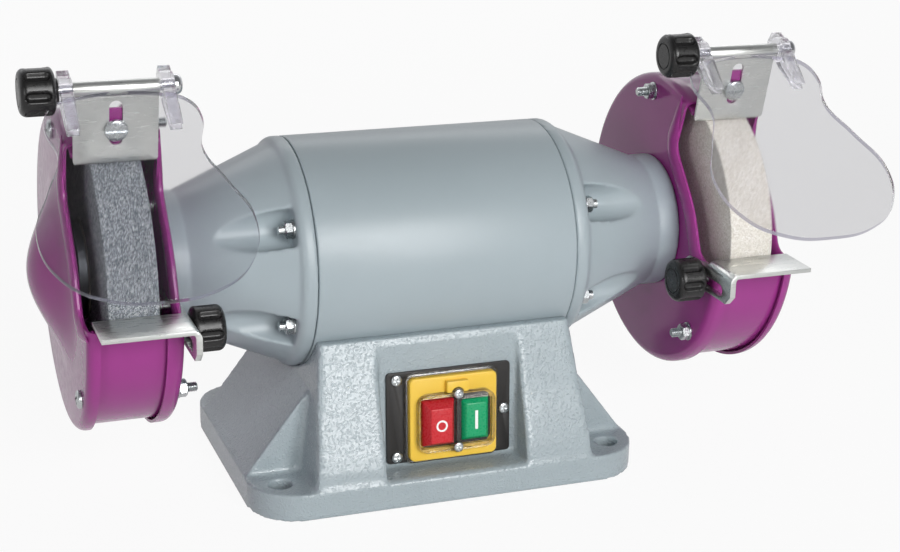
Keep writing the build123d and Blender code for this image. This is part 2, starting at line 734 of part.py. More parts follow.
# Eye shields: rod with a round head, two forked clips, pear-shaped clear sheet, knob on the left end
rod_centre = tab_plane * Pos(0, rod_reach, plate_middle)
tilt = radians(shield_angle)
shield_plane = Plane(
    origin=rod_centre.position,
    x_dir=(1, 0, 0),
    z_dir=(0, cos(tilt), -sin(tilt)),
)
side_gap = 0.5
clip_start = deflector_half + side_gap
clip_end = clip_start + clip_width
neck_length = 6.0
rod_grip = 9.0
rod_left = -(clip_end + side_gap + neck_length + rod_grip)
rod_right = clip_end + side_gap
shield_rod = Pos(rod_left, 0, 0) * Rot(0, 90, 0) * Cylinder(rod_radius, rod_right - rod_left + 2, align=upright)
round_head = Cylinder(2 * rod_radius, 4, align=upright)
round_head = fillet(round_head.edges().sort_by(Axis.Z)[-1], 3)
shield_rod += Pos(rod_right, 0, 0) * Rot(0, 90, 0) * round_head
shield_half = [(37, 22), (33.6, 42), (41, 61.5), (49.5, 86), (42, 111), (24, 124), (0, 127.5)]
shield_corner = 16.0
half_edge = (
    Line((0, shield_top), (shield_half[0][0] - shield_corner, shield_top))
    + RadiusArc((shield_half[0][0] - shield_corner, shield_top), shield_half[0], -shield_corner)
    + Spline(*shield_half, tangents=((0, 1), (-1, 0)))
    + Line(shield_half[-1], (0, shield_top))
)
half_face = make_face(half_edge)
shield_face = half_face + mirror(half_face, about=Plane.YZ)
shield = extrude(shield_face, shield_thick / 2, both=True)


def clip():
    # section in the plane across the rod: lug, fork legs with pointed ends, slit for the sheet
    outline = Polyline(
        (-lug_top, -lug_half),
        (0, -clip_half),
        (9, -clip_half),
        (finger_end, -finger_tip),
        (finger_end, finger_tip),
        (9, clip_half),
        (0, clip_half),
        (-lug_top, lug_half),
        close=True,
    )
    section = make_face(outline) + Circle(clip_radius)
    section -= Circle(rod_radius + running_gap)
    slit = finger_end - shield_top + side_gap
    section -= Pos(shield_top + slit / 2 - running_gap, 0) * Rectangle(slit, shield_thick + 2 * screw_gap)
    return extrude(section, clip_width)


clip_frame = Plane(origin=(0, 0, 0), x_dir=(0, 1, 0), z_dir=(1, 0, 0))
clips = [Pos(start, 0, 0) * (clip_frame * clip()) for start in (clip_start, -clip_end)]
shield_knob = knob(neck_length, rod_radius + running_gap, neck_length + rod_grip + side_gap)
shield_knob = Pos(-clip_end - side_gap, 0, 0) * Rot(0, -90, 0) * shield_knob
to_left = Pos(-2 * wheel_centre, 0, 0)
for side, place in (("right", shield_plane.location), ("left", to_left * shield_plane.location)):
    save(f"{side}_shield_rod", place * shield_rod)
    save(f"{side}_shield", place * shield)
    save(f"{side}_shield_clips", *[place * piece for piece in clips])
    save(f"{side}_shield_knob", place * shield_knob)

# Switch: plate, housing, clear cover frame, two buttons with retaining flanges, contact block
plate_thick = 1.5
plate_size = (69.0, 50.0)
housing_size = 51.0
housing_top = 7.0
cover_centre = (4.0, -3.5)
cover_size = (47.0, 40.0)
cover_top = 11.0
stop_centre = (-5.3, -4.5)
stop_size = (18.5, 27.0)
stop_shoulder = 10.0
stop_top = 16.0
stop_facet = 4.2
start_centre = (15.5, -3.0)
start_size = (15.0, 24.0)
start_shoulder = 8.0
start_top = 10.0
start_facet = 2.4
flange_grow = 1.0
button_base = 0.2
button_gap = 0.4
cover_screw_spots = [(5.8, 13.5), (5.8, -20.2)]
cover_screw_radius = 1.5
latch_size = (10.5, 6.0)
latch_centre = (5.8, 20.5)


def slab(centre, size, low, high):
    return Pos(centre[0], centre[1], (low + high) / 2) * Box(size[0], size[1], high - low)


def grown(size, amount):
    return size[0] + 2 * amount, size[1] + 2 * amount


def button(centre, size, shoulder, top, facet):
    # straight sides, sloping facets to a smaller top, and a flange behind the housing
    low = Pos(*centre, shoulder) * Rectangle(*size)
    high = Pos(*centre, top) * Rectangle(*grown(size, -facet))
    cap = loft([low.face(), high.face()]) + slab(centre, size, button_base, shoulder)
    return cap + slab(centre, grown(size, flange_grow), button_base, plate_thick - running_gap)


def pan_screw(x, y, seat, tip, radius, head_radius, head_height):
    head = Pos(x, y, seat) * Cylinder(head_radius, head_height, align=upright)
    return panel * (head + Pos(x, y, tip) * Cylinder(radius, seat - tip, align=upright))


switch_plate = extrude(RectangleRounded(*plate_size, 2), plate_thick)
switch_plate -= slab((window_centre, 0), (window_width, window_height), -1, 2 * plate_thick)
housing_face = RectangleRounded(housing_size, housing_size, 3)
housing = Pos(window_centre, 0, plate_thick) * extrude(housing_face, housing_top - plate_thick)
housing = chamfer(housing.faces().sort_by(Axis.Z)[-1].edges(), 0.8)
housing += slab(latch_centre, latch_size, housing_top - 1, housing_top + 1.2)
cover = Pos(*cover_centre, housing_top) * extrude(RectangleRounded(*cover_size, 3), cover_top - housing_top)
for centre, size in ((stop_centre, stop_size), (start_centre, start_size)):
    housing -= slab(centre, grown(size, button_gap), 0, 2 * cover_top)
    cover -= slab(centre, grown(size, 3 * button_gap), 0, 2 * cover_top)
switch_screws = []
cover_fixings = []
for x, y in switch_screw_places:
    switch_plate -= Pos(x, y, 0) * Cylinder(switch_screw_radius + hole_gap, 10)
    switch_screws.append(pan_screw(x, y, plate_thick, -3, switch_screw_radius, 2 * switch_screw_radius, 1.6))
for x, y in cover_screw_spots:
    cover -= Pos(x, y, 0) * Cylinder(cover_screw_radius + hole_gap, 40)
    housing -= Pos(x, y, 0) * Cylinder(cover_screw_radius + screw_gap, 40)
    cover_fixings.append(pan_screw(x, y, cover_top, plate_thick + 1, cover_screw_radius, 2.6, 1.5))
stop = button(stop_centre, stop_size, stop_shoulder, stop_top, stop_facet)
start_cap = button(start_centre, start_size, start_shoulder, start_top, start_facet)
contact_block = slab((window_centre, -9), (window_width - 3, 24), -33, -5.5)
save("switch_plate", panel * switch_plate)
save("switch_plate_screws", *switch_screws)
save("switch_housing", panel * housing)
save("switch_cover", panel * cover)
save("switch_cover_screws", *cover_fixings)
save("stop_button", panel * stop)
save("start_button", panel * start_cap)
save("switch_contact_block", panel * contact_block)

# Inside the pedestal: capacitor; at the rear: cable gland
capacitor_radius = 17.0
capacitor_half = 30.0
capacitor_y = 34.0
capacitor_z = plate_lift + bottom_plate_thick + capacitor_radius
capacitor = along_x(capacitor_radius, -capacitor_half, capacitor_half, capacitor_y, capacitor_z)
capacitor = fillet(capacitor.edges().filter_by(GeomType.CIRCLE), 2)
save("capacitor", capacitor)
gland_flats = 22.0
gland_collar = 6.0
gland = Cylinder(gland_radius, 18, align=(Align.CENTER, Align.CENTER, Align.MAX))
gland += extrude(RegularPolygon(gland_flats / 2, 6, major_radius=False), gland_collar)
gland += Pos(0, 0, gland_collar) * Cone(gland_radius + 2, gland_radius - 1, 2 * gland_collar, align=upright)
gland -= Cylinder(gland_bore, 80)
save("cable_gland", Pos(gland_x, gland_face, gland_z) * Rot(-90, 0, 0) * gland)
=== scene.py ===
import json
from math import atan2, cos, hypot, pi, radians, sin

import bmesh
import bpy
from mathutils import Matrix, Vector


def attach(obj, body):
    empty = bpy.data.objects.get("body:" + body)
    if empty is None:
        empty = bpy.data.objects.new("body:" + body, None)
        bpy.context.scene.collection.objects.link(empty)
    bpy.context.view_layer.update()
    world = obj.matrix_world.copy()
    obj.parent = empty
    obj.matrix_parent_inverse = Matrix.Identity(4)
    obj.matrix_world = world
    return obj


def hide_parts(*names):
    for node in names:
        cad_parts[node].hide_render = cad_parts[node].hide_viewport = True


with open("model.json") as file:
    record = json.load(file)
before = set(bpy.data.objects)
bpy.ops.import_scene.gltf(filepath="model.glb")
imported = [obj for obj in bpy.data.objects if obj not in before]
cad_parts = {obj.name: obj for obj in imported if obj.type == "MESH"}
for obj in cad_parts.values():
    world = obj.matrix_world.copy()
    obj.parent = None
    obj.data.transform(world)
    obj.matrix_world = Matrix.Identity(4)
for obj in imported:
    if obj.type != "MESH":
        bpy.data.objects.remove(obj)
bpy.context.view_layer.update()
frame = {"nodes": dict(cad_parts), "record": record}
nodes = frame["nodes"]
bodyOf = {n: b for b, members in frame["record"]["behaviour"]["bodies"].items() for n in members}
axisHeight = 120.0  # spindle above the bench, mm
print("frame loaded:", len(nodes), "nodes")


def linear(hexColour):
    parts = [int(hexColour[i:i + 2], 16) / 255 for i in (1, 3, 5)]
    return [c / 12.92 if c <= 0.04045 else ((c + 0.055) / 1.055) ** 2.4 for c in parts] + [1.0]


def feed(tree, node, inputs):  # links and plain values into a node's inputs
    for key, value in inputs.items():
        if isinstance(value, bpy.types.NodeSocket):
            tree.links.new(value, node.inputs[key])
        else:
            node.inputs[key].default_value = value


def addNode(tree, kind, inputs=None, **settings):
    node = tree.nodes.new(kind)
    for key, value in settings.items():
        setattr(node, key, value)
    feed(tree, node, inputs or {})
    return node


def startMaterial(name, colour, rough, metal=0.0):
    material = bpy.data.materials.new(name)
    material.use_nodes = True
    tree = material.node_tree
    shader = tree.nodes["Principled BSDF"]
    feed(tree, shader, {"Base Color": linear(colour), "Roughness": rough, "Metallic": metal})
    place = addNode(tree, "ShaderNodeTexCoord").outputs["Object"]
    return material, tree, shader, place


glossSpan = {"From Min": 0.3, "From Max": 0.7}  # noise seldom leaves this span


# Paint, plate and mouldings: two close colours in slow clouds, a fine relief and an uneven gloss; lengths in mm
def makeSurface(name, slotName, look):
    low, high = look["rough"]
    material, tree, shader, place = startMaterial(name, look["first"], low, look.get("metal", 0.0))
    cloud = addNode(tree, "ShaderNodeTexNoise", {"Vector": place, "Scale": 1000 / look["cloud"], "Detail": 3.0})
    tones = {0: cloud.outputs[0], 6: linear(look["first"]), 7: linear(look["second"])}
    tone = addNode(tree, "ShaderNodeMix", tones, data_type="RGBA")
    if "stretch" in look:  # lines drawn out along X
        drawn = {"Vector": place, "Scale": (look["stretch"], 1.0, 1.0)}
        place = addNode(tree, "ShaderNodeMapping", drawn).outputs[0]
    if "turning" in look:  # lines left by the lathe
        waves = {"Vector": place, "Scale": 1000 / look["turning"], "Distortion": 1.0}
        grain = addNode(tree, "ShaderNodeTexWave", waves, bands_direction="X").outputs[1]
    else:
        noise = {"Vector": place, "Scale": 1000 / look["grain"], "Detail": look["detail"]}
        grain = addNode(tree, "ShaderNodeTexNoise", noise).outputs[0]
    height = grain
    if "pebble" in look:  # rounded pimples stand out of the grain
        pebble = look["pebble"]
        noise = {"Vector": place, "Scale": 1000 / pebble["size"], "Detail": pebble["detail"], "Roughness": 0.5}
        rise = {"From Min": pebble["from"], "From Max": pebble["to"]}
        rise["Value"] = addNode(tree, "ShaderNodeTexNoise", noise).outputs[0]
        pimple = addNode(tree, "ShaderNodeMapRange", rise, interpolation_type="SMOOTHSTEP").outputs[0]
        blend = {0: grain, 1: pebble["grain"], 2: pimple}
        height = addNode(tree, "ShaderNodeMath", blend, operation="MULTIPLY_ADD").outputs[0]
    relief = {"Height": height, "Strength": look["strength"], "Distance": look["depth"] / 1000}
    bump = addNode(tree, "ShaderNodeBump", relief)
    gloss = addNode(tree, "ShaderNodeMapRange", {"Value": grain, **glossSpan, "To Min": low, "To Max": high})
    coat, coatRough = look.get("coat", (0.0, 0.03))
    feed(tree, shader, {
        "Base Color": tone.outputs[2], "Normal": bump.outputs[0], "Roughness": gloss.outputs[0],
        "Specular IOR Level": look.get("specular", 0.5), "Coat Weight": coat, "Coat Roughness": coatRough,
    })
    return material, slotName


# Enamel on the castings: sprayed thick over sand-cast aluminium, pebbled, with small glints
castEnamel = makeSurface("enamel_on_casting", "cast_paint", {
    "first": "#9EAAAF", "second": "#A8B4B9", "cloud": 40, "grain": 0.8, "detail": 2.0,
    "pebble": {"size": 1.25, "detail": 1.5, "from": 0.46, "to": 0.8, "grain": 0.2},
    "strength": 1.0, "depth": 0.27, "rough": (0.16, 0.28), "coat": (0.25, 0.12),
})
# Enamel on the barrel: the same colour on machined metal, satin, only a faint orange peel
barrelEnamel = makeSurface("satin_enamel", "barrel_paint", {
    "first": "#A1ADB2", "second": "#A7B3B8", "cloud": 60, "grain": 1.6, "detail": 2.0,
    "strength": 0.12, "depth": 0.15, "rough": (0.3, 0.38),
})
# Gloss paint on pressed steel: deep purple, wet-looking, slight orange peel
guardPaint = makeSurface("gloss_purple_paint", "guard_paint", {
    "first": "#9A3486", "second": "#A03C8C", "cloud": 50, "grain": 3.0, "detail": 1.0,
    "strength": 0.08, "depth": 0.12, "rough": (0.15, 0.22), "specular": 0.32, "coat": (0.15, 0.06),
})
# Zinc plate on cut sheet: silvery, cloudy, with rolling streaks along X
zincPlate = makeSurface("zinc_plated_sheet", "zinc", {
    "first": "#CACDCB", "second": "#E2E2DE", "cloud": 14.0, "grain": 0.7, "detail": 3.0, "stretch": 0.06,
    "strength": 0.1, "depth": 0.08, "rough": (0.24, 0.42), "metal": 1.0,
})
# Bright zinc on small turned and headed steel: even and a little soft
brightSteel = makeSurface("bright_zinc_steel", "bright_steel", {
    "first": "#B4B8BA", "second": "#C9CCCC", "cloud": 6.0, "grain": 0.8, "detail": 3.0,
    "strength": 0.05, "depth": 0.03, "rough": (0.24, 0.32), "metal": 1.0,
})
# Chromed rod: mirror bright, hair-fine draw lines
chrome = makeSurface("chromed_rod", "chromed_rod", {
    "first": "#C4C5C8", "second": "#D2D3D4", "cloud": 20, "grain": 0.6, "detail": 2.0, "stretch": 0.03,
    "strength": 0.05, "depth": 0.03, "rough": (0.07, 0.16), "metal": 1.0,
})
# Ground steel inside: dark grey, with turning lines; the dark tone is partly painted shade, so the wheel flanges
# inside the guards show dark
groundSteelAndShade = makeSurface("ground_steel", "ground_steel", {
    "first": "#66696E", "second": "#777A7E", "cloud": 15, "turning": 12,
    "strength": 0.1, "depth": 0.05, "rough": (0.36, 0.5), "metal": 1.0,
})
# Moulded plastics and pressed paper: even, with a fine mould grain; slot, two colours, roughness, grain, its depth
mouldings = {
    "black_nylon": ("black_knob", "#0F0E0E", "#171616", 0.3, 1.4, 0.02),
    "black_plate": ("black_plate", "#1B1918", "#232120", 0.48, 0.7, 0.15),
    "yellow_abs": ("yellow_plastic", "#F0C440", "#F3CB4E", 0.34, 1.0, 0.05),
    "red_abs": ("red_plastic", "#C51F29", "#CE2A32", 0.28, 1.0, 0.04),
    "green_abs": ("green_plastic", "#0A9A62", "#14A56D", 0.28, 1.0, 0.04),
    "white_mark": (None, "#F4F3F0", "#FAFAF8", 0.4, 0.5, 0.02),
    "black_gland": ("gland_plastic", "#1D1C1B", "#252423", 0.45, 0.8, 0.08),
    "pressed_paper": ("paper", "#4A4540", "#59534D", 0.9, 1.2, 0.2),
}
moulded = [
    makeSurface(name, slotName, {
        "first": first, "second": second, "cloud": 12, "grain": grain, "detail": 2.0,
        "strength": 0.25, "depth": depth, "rough": (rough * 0.85, rough * 1.2),
    })
    for name, (slotName, first, second, rough, grain, depth) in mouldings.items()
]
knobPlastic, platePlastic, yellowPlastic, redPlastic, greenPlastic, whiteMark, glandPlastic, blotterPaper = moulded


# Enamelled copper coils and stacked laminations inside the motor: fine bands
def makeBanded(name, slotName, first, second, pitch, rough):
    material, tree, shader, place = startMaterial(name, first, rough, 1.0)
    waves = {"Vector": place, "Scale": 1000 / pitch / 6.3, "Distortion": 0.6}
    bands = addNode(tree, "ShaderNodeTexWave", waves, bands_direction="X").outputs[1]
    tone = addNode(tree, "ShaderNodeMix", {0: bands, 6: linear(first), 7: linear(second)}, data_type="RGBA")
    bump = addNode(tree, "ShaderNodeBump", {"Height": bands, "Strength": 0.4, "Distance": 0.2 / 1000})
    feed(tree, shader, {"Base Color": tone.outputs[2], "Normal": bump.outputs[0]})
    return material, slotName


# Vitrified abrasive: packed grains in a glassy bond, each grain with its own tone
greyGrit = {"dark": "#41474E", "mid": "#848A90", "light": "#D2D6D9", "grain": 0.55, "depth": 0.5}
whiteGrit = {"dark": "#CFC9BE", "mid": "#E2DDD3", "light": "#F1EEE8", "grain": 0.8, "depth": 0.3}


def makeAbrasive(name, slotName, look):
    material, tree, shader, place = startMaterial(name, look["mid"], 0.9)
    grain = addNode(tree, "ShaderNodeTexVoronoi", {"Vector": place, "Scale": 1000 / look["grain"]})
    ramp = addNode(tree, "ShaderNodeValToRGB", {"Fac": grain.outputs["Color"]})
    stops = ramp.color_ramp.elements
    stops[0].color = linear(look["dark"])
    stops[1].color = linear(look["light"])
    stops.new(0.5).color = linear(look["mid"])
    stain = addNode(tree, "ShaderNodeTexNoise", {"Vector": place, "Scale": 1000 / 25, "Detail": 3.0}).outputs[0]
    tones = {0: 0.3, 6: ramp.outputs[0], 7: stain}
    shade = addNode(tree, "ShaderNodeMix", tones, data_type="RGBA", blend_type="SOFT_LIGHT")
    relief = {"Height": grain.outputs["Distance"], "Strength": 0.8, "Distance": look["depth"] / 1000}
    bump = addNode(tree, "ShaderNodeBump", relief)
    gloss = addNode(tree, "ShaderNodeMapRange", {"Value": stain, **glossSpan, "To Min": 0.82, "To Max": 0.96})
    feed(tree, shader, {"Base Color": shade.outputs[2], "Normal": bump.outputs[0], "Roughness": gloss.outputs[0]})
    return material, slotName


# Clear plastics: water clear sheet, a cool darker tint on the sheet's rim as painted shade, pale mouldings; bend is
# how strongly they refract
def makeClear(name, slotName, colour, alpha, rough, bend):
    material, tree, shader, place = startMaterial(name, colour, rough)
    ripple = addNode(tree, "ShaderNodeTexNoise", {"Vector": place, "Scale": 1000 / 18, "Detail": 1.0}).outputs[0]
    bump = addNode(tree, "ShaderNodeBump", {"Height": ripple, "Strength": 0.04, "Distance": 0.2 / 1000})
    span = {"Value": ripple, **glossSpan, "To Min": rough * 0.6, "To Max": rough * 1.5}
    gloss = addNode(tree, "ShaderNodeMapRange", span)
    feed(tree, shader, {
        "Transmission Weight": 1.0, "IOR": bend, "Alpha": alpha, "Coat Weight": 1.0, "Coat Roughness": 0.03,
        "Normal": bump.outputs[0], "Roughness": gloss.outputs[0],
    })
    return material, slotName


coilCopper = makeBanded("enamelled_copper", "copper", "#8A4A24", "#C27A45", 0.9, 0.35)
coreSteel = makeBanded("steel_laminations", "lamination", "#56585B", "#77797C", 0.7, 0.5)
greyAbrasive = makeAbrasive("grey_corundum", "grey_abrasive", greyGrit)
whiteAbrasive = makeAbrasive("white_corundum", "white_abrasive", whiteGrit)
clearSheet = makeClear("clear_polycarbonate", "clear_sheet", "#D2D1D6", 0.42, 0.0, 1.01)
# The sheet's rim colour is painted shade: the dark outline that refraction in the edge would show.
sheetRimShade = makeClear("sheet_rim_painted_shade", "clear_sheet", "#8C87A0", 0.8, 0.1, 1.2)
clearClip = makeClear("clear_moulding", "clear_clip", "#E9E8EE", 0.8, 0.04, 1.22)
coverClear = makeClear("clear_switch_cover", "clear_clip", "#DAD8D2", 0.8, 0.04, 1.3)
# The cover's rim colour is painted shade of the dark seen through it.
coverRimShade = makeClear("cover_rim_painted_shade", "clear_clip", "#77726A", 0.85, 0.08, 1.2)
print("materials made:", len(bpy.data.materials))


def addObject(name, data):
    thing = bpy.data.objects.new(name, data)
    bpy.context.scene.collection.objects.link(thing)
    return thing


bevelOptions = {"offset_type": "OFFSET", "profile": 0.5, "clamp_overlap": True, "material": -1}


def weld(shape, gap=0.001):  # points closer than this, in mm, are one
    bmesh.ops.remove_doubles(shape, verts=shape.verts, dist=gap)
    return shape


def spinShape(profile, segments, closed=True, angle=2 * pi, turn=0.0):  # (x, radius) pairs turned about the spindle
    shape = bmesh.new()
    verts = [shape.verts.new((x, -r * cos(turn), axisHeight + r * sin(turn))) for x, r in profile]
    loop = verts + verts[:1] if closed else verts
    edges = [shape.edges.new(pair) for pair in zip(loop, loop[1:])]
    full = abs(angle - 2 * pi) < 1e-6
    options = {"cent": (0, 0, axisHeight), "axis": (-1, 0, 0), "angle": angle, "steps": segments, "use_merge": full}
    bmesh.ops.spin(shape, geom=verts + edges, **options)
    weld(shape)
    if not full:
        bmesh.ops.holes_fill(shape, edges=[e for e in shape.edges if e.is_boundary], sides=0)
    bmesh.ops.recalc_face_normals(shape, faces=shape.faces)
    return shape


def polePiece(profile, segments):  # (radius, z) pairs turned about Z
    shape = bmesh.new()
    verts = [shape.verts.new((r, 0, z)) for r, z in profile]
    edges = [shape.edges.new(pair) for pair in zip(verts, verts[1:])]
    options = {"cent": (0, 0, 0), "axis": (0, 0, 1), "angle": 2 * pi, "steps": segments, "use_merge": True}
    bmesh.ops.spin(shape, geom=verts + edges, **options)
    weld(shape)
    bmesh.ops.recalc_face_normals(shape, faces=shape.faces)
    return shape


def block(low, high):
    shape = bmesh.new()
    bmesh.ops.create_cube(shape, size=1.0)
    bmesh.ops.scale(shape, vec=[b - a for a, b in zip(low, high)], verts=shape.verts)
    bmesh.ops.translate(shape, vec=[(a + b) / 2 for a, b in zip(low, high)], verts=shape.verts)
    return shape


def pulled(shape, step):  # a flat shape drawn out into a solid
    moved = bmesh.ops.extrude_face_region(shape, geom=shape.faces[:])
    top = [g for g in moved["geom"] if isinstance(g, bmesh.types.BMVert)]
    bmesh.ops.translate(shape, vec=step, verts=top)
    bmesh.ops.recalc_face_normals(shape, faces=shape.faces)
    return shape


def prism(points, low, high):  # outline in XY, pulled along Z
    shape = bmesh.new()
    shape.faces.new([shape.verts.new((x, y, low)) for x, y in points])
    return pulled(shape, (0, 0, high - low))


def placed(shape, place):  # moved by a matrix
    bmesh.ops.transform(shape, matrix=place, verts=shape.verts)
    return shape


def roundEdges(shape, width, segments=2, angle=30.0, keep=None):
    chosen = [e for e in shape.edges if len(e.link_faces) == 2 and e.calc_face_angle() > radians(angle)]
    if keep:
        chosen = [e for e in chosen if keep((e.verts[0].co + e.verts[1].co) / 2)]
    bmesh.ops.bevel(shape, geom=chosen, offset=width, segments=segments, affect="EDGES", **bevelOptions)
    return shape


def together(*shapes):  # several shapes in one mesh
    result = bmesh.new()
    for shape in shapes:
        mesh = bpy.data.meshes.new("work")
        shape.to_mesh(mesh)
        result.from_mesh(mesh)
        bpy.data.meshes.remove(mesh)
        shape.free()
    return result


def stamped(shape, places):  # copies of one shape at several places
    mesh = bpy.data.meshes.new("work")
    shape.to_mesh(mesh)
    shape.free()
    result = bmesh.new()
    for place in places:
        copy = mesh.copy()
        copy.transform(place)
        if place.determinant() < 0:
            copy.flip_normals()
        result.from_mesh(copy)
        bpy.data.meshes.remove(copy)
    bpy.data.meshes.remove(mesh)
    return result


def asDrawn(shape):  # shapes are drawn for the right side
    return shape


def flipped(shape):  # the same shape on the left side
    bmesh.ops.scale(shape, vec=(-1, 1, 1), verts=shape.verts)
    bmesh.ops.reverse_faces(shape, faces=shape.faces)
    return shape


sides = {"right": asDrawn, "left": flipped}


def worked(shape, *others, **changes):  # modifiers on a shape, given back as a shape
    things = []
    for part in (shape,) + others:
        mesh = bpy.data.meshes.new("work")
        part.to_mesh(mesh)
        part.free()
        things.append(addObject("work", mesh))
    for kind, settings in changes.items():
        change = things[0].modifiers.new(kind, kind)
        for key, value in settings.items():
            setattr(change, key, value)
        if kind == "BOOLEAN":
            change.object = things[1]
    bpy.context.view_layer.update()
    result = bmesh.new()
    result.from_object(things[0], bpy.context.evaluated_depsgraph_get())
    for thing in things:
        mesh = thing.data
        bpy.data.objects.remove(thing)
        bpy.data.meshes.remove(mesh)
    return result


def combined(shape, other, operation):
    return worked(shape, other, BOOLEAN={"operation": operation, "solver": "EXACT"})


def cut(shape, tool):
    return combined(shape, tool, "DIFFERENCE")


def softened(shape, look):  # a casting's edges run together
    changes = {"REMESH": {"mode": "VOXEL", "voxel_size": look["voxel"]}}
    changes["SMOOTH"] = {"factor": 0.5, "iterations": look["smoothing"]}
    return worked(shape, **changes)


def curveShape(line):  # a curve given back as a shape
    thing = addObject("work", line)
    bpy.context.view_layer.update()
    mesh = bpy.data.meshes.new_from_object(thing.evaluated_get(bpy.context.evaluated_depsgraph_get()))
    shape = bmesh.new()
    shape.from_mesh(mesh)
    bpy.data.objects.remove(thing)
    bpy.data.curves.remove(line)
    bpy.data.meshes.remove(mesh)
    return shape


def nodeShape(name):  # merged copy of a CAD node, in mm
    shape = bmesh.new()
    shape.from_mesh(nodes[name].data)
    bmesh.ops.scale(shape, vec=(1000, 1000, 1000), verts=shape.verts)
    return weld(shape, 0.002)


def plateShape(name):  # the same with its flat faces whole
    shape = nodeShape(name)
    bmesh.ops.dissolve_limit(shape, angle_limit=radians(0.6), verts=shape.verts, edges=shape.edges)
    return shape


def finishPiece(shape, name, finish, body, *stands, sharp=35.0):
    bmesh.ops.scale(shape, vec=(0.001, 0.001, 0.001), verts=shape.verts)
    mesh = bpy.data.meshes.new(name)
    shape.to_mesh(mesh)
    shape.free()
    mesh.materials.append(finish[0])
    mesh.shade_smooth()
    mesh.set_sharp_from_angle(angle=radians(sharp))
    piece = addObject(name, mesh)
    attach(piece, body)
    if stands:
        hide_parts(*stands)
    return piece


def dress(name, finish, width):  # a CAD node's own shape with its sharp edges broken
    shape = plateShape(name)
    if width:
        roundEdges(shape, width)
    finishPiece(shape, name + "_finished", finish, bodyOf[name], name)


sideways = Matrix(((0, 0, 1, 0), (1, 0, 0, 0), (0, 1, 0, 0), (0, 0, 0, 1)))  # outline in YZ, pulled along X

# Pedestal: the casting's edges soften under the paint
pedestalLook = {
    "voxel": 1.3, "smoothing": 2, "fillFrom": 39.0, "fillTo": 77.0, "footTop": 14.5, "taper": 0.112,
    "fill": (  # y, z
        (-64, 4), (-79.9, 4), (-79.7, 9), (-79.0, 15), (-77.5, 22), (-75.2, 30), (-71.7, 40), (-68.0, 49), (-64, 49),
    ),
}
castSharp = 80  # degrees, so that softened edges shade smoothly
rightFill = prism(pedestalLook["fill"], pedestalLook["fillFrom"], pedestalLook["fillTo"])
placed(rightFill, sideways)  # the front face runs on into the foot beside the recess
for v in rightFill.verts:
    if v.co.x > pedestalLook["fillFrom"] + 1:
        v.co.x -= max(0.0, v.co.z - pedestalLook["footTop"]) * pedestalLook["taper"]  # the block narrows upwards
pedestal = softened(together(nodeShape("pedestal"), rightFill.copy(), flipped(rightFill)), pedestalLook)
print("pedestal faces:", len(pedestal.faces))
finishPiece(pedestal, "pedestal_casting", castEnamel, "frame", "pedestal", sharp=castSharp)

# Motor barrel and end bells
barrelSizes = {"radius": 61.0, "half": 70.5, "wall": 5.5, "corner": 0.8}
half, outer, inner = barrelSizes["half"], barrelSizes["radius"], barrelSizes["radius"] - barrelSizes["wall"]
barrel = spinShape([(-half, inner), (-half, outer), (half, outer), (half, inner)], 192)
roundEdges(barrel, barrelSizes["corner"], 3, keep=lambda p: hypot(p.y, p.z - axisHeight) > inner + 1)
finishPiece(barrel, "barrel_shell", barrelEnamel, "frame", "motor_barrel")

bellSizes = {
    "profile": [  # x, radius: outside from the barrel to the guard, then back inside
        (70.7, 60.2), (71.3, 61), (76, 61), (78, 60), (79.5, 58), (131.4, 36.3), (132, 36.9), (142, 36.9), (143, 36),
        (143, 12.5), (124, 12.5), (124, 20), (106, 20), (102, 37), (74, 37), (74, 48), (70.7, 48),
    ],
    "pocket": 10.0, "pocketDepth": 60, "pocketRise": 20, "circle": 51.5, "angles": (30, 150, 210, 330), "from": 79.5,
    "voxel": 1.15, "smoothing": 2,
}
outwards = Matrix(((0, 0, 1, 0), (-1, 0, 0, 0), (0, 1, 0, 0), (0, 0, 0, 1)))  # local Z along X, local X outwards


def roundSpindle(degrees, radius, x):  # a place on a circle round the spindle
    turn = Matrix.Translation((0, 0, axisHeight)) @ Matrix.Rotation(radians(-degrees), 4, "X")
    return turn @ Matrix.Translation((x, -radius, 0))


def aroundSpindle(degrees, radius, x):  # the same, local Z along X
    return roundSpindle(degrees, radius, x) @ Matrix.Rotation(radians(90), 4, "Y")


def bellShape():  # a nut pocket runs down the cone at each tie rod
    b = bellSizes
    r = b["pocket"]
    outline = [(-r * sin(a), r * cos(a)) for a in [radians(d) for d in range(0, 181, 12)]]
    channel = prism([(b["pocketRise"], r)] + outline + [(b["pocketRise"], -r)], 0, b["pocketDepth"])
    places = [roundSpindle(degrees, b["circle"], b["from"]) @ outwards for degrees in b["angles"]]
    return softened(cut(spinShape(b["profile"], 160), stamped(channel, places)), b)


for side, turned in sides.items():
    bell = turned(bellShape())
    finishPiece(bell, side + "_bell_casting", barrelEnamel, "frame", side + "_end_bell", sharp=castSharp)
print("motor housing done")

# Grinding wheels: trued rims with slightly broken corners
wheelSizes = {"radius": 75.0, "inner": 154.0, "outer": 179.0, "bore": 8.2, "corner": 0.9}
low, high, rim, bore = (wheelSizes[key] for key in ("inner", "outer", "radius", "bore"))
for side, finish in (("right", whiteAbrasive), ("left", greyAbrasive)):
    wheel = spinShape([(low, bore), (low, rim), (high, rim), (high, bore)], 200)
    roundEdges(wheel, wheelSizes["corner"], 3)
    finishPiece(sides[side](wheel), side + "_grinding_wheel", finish, "spindle", side + "_wheel")

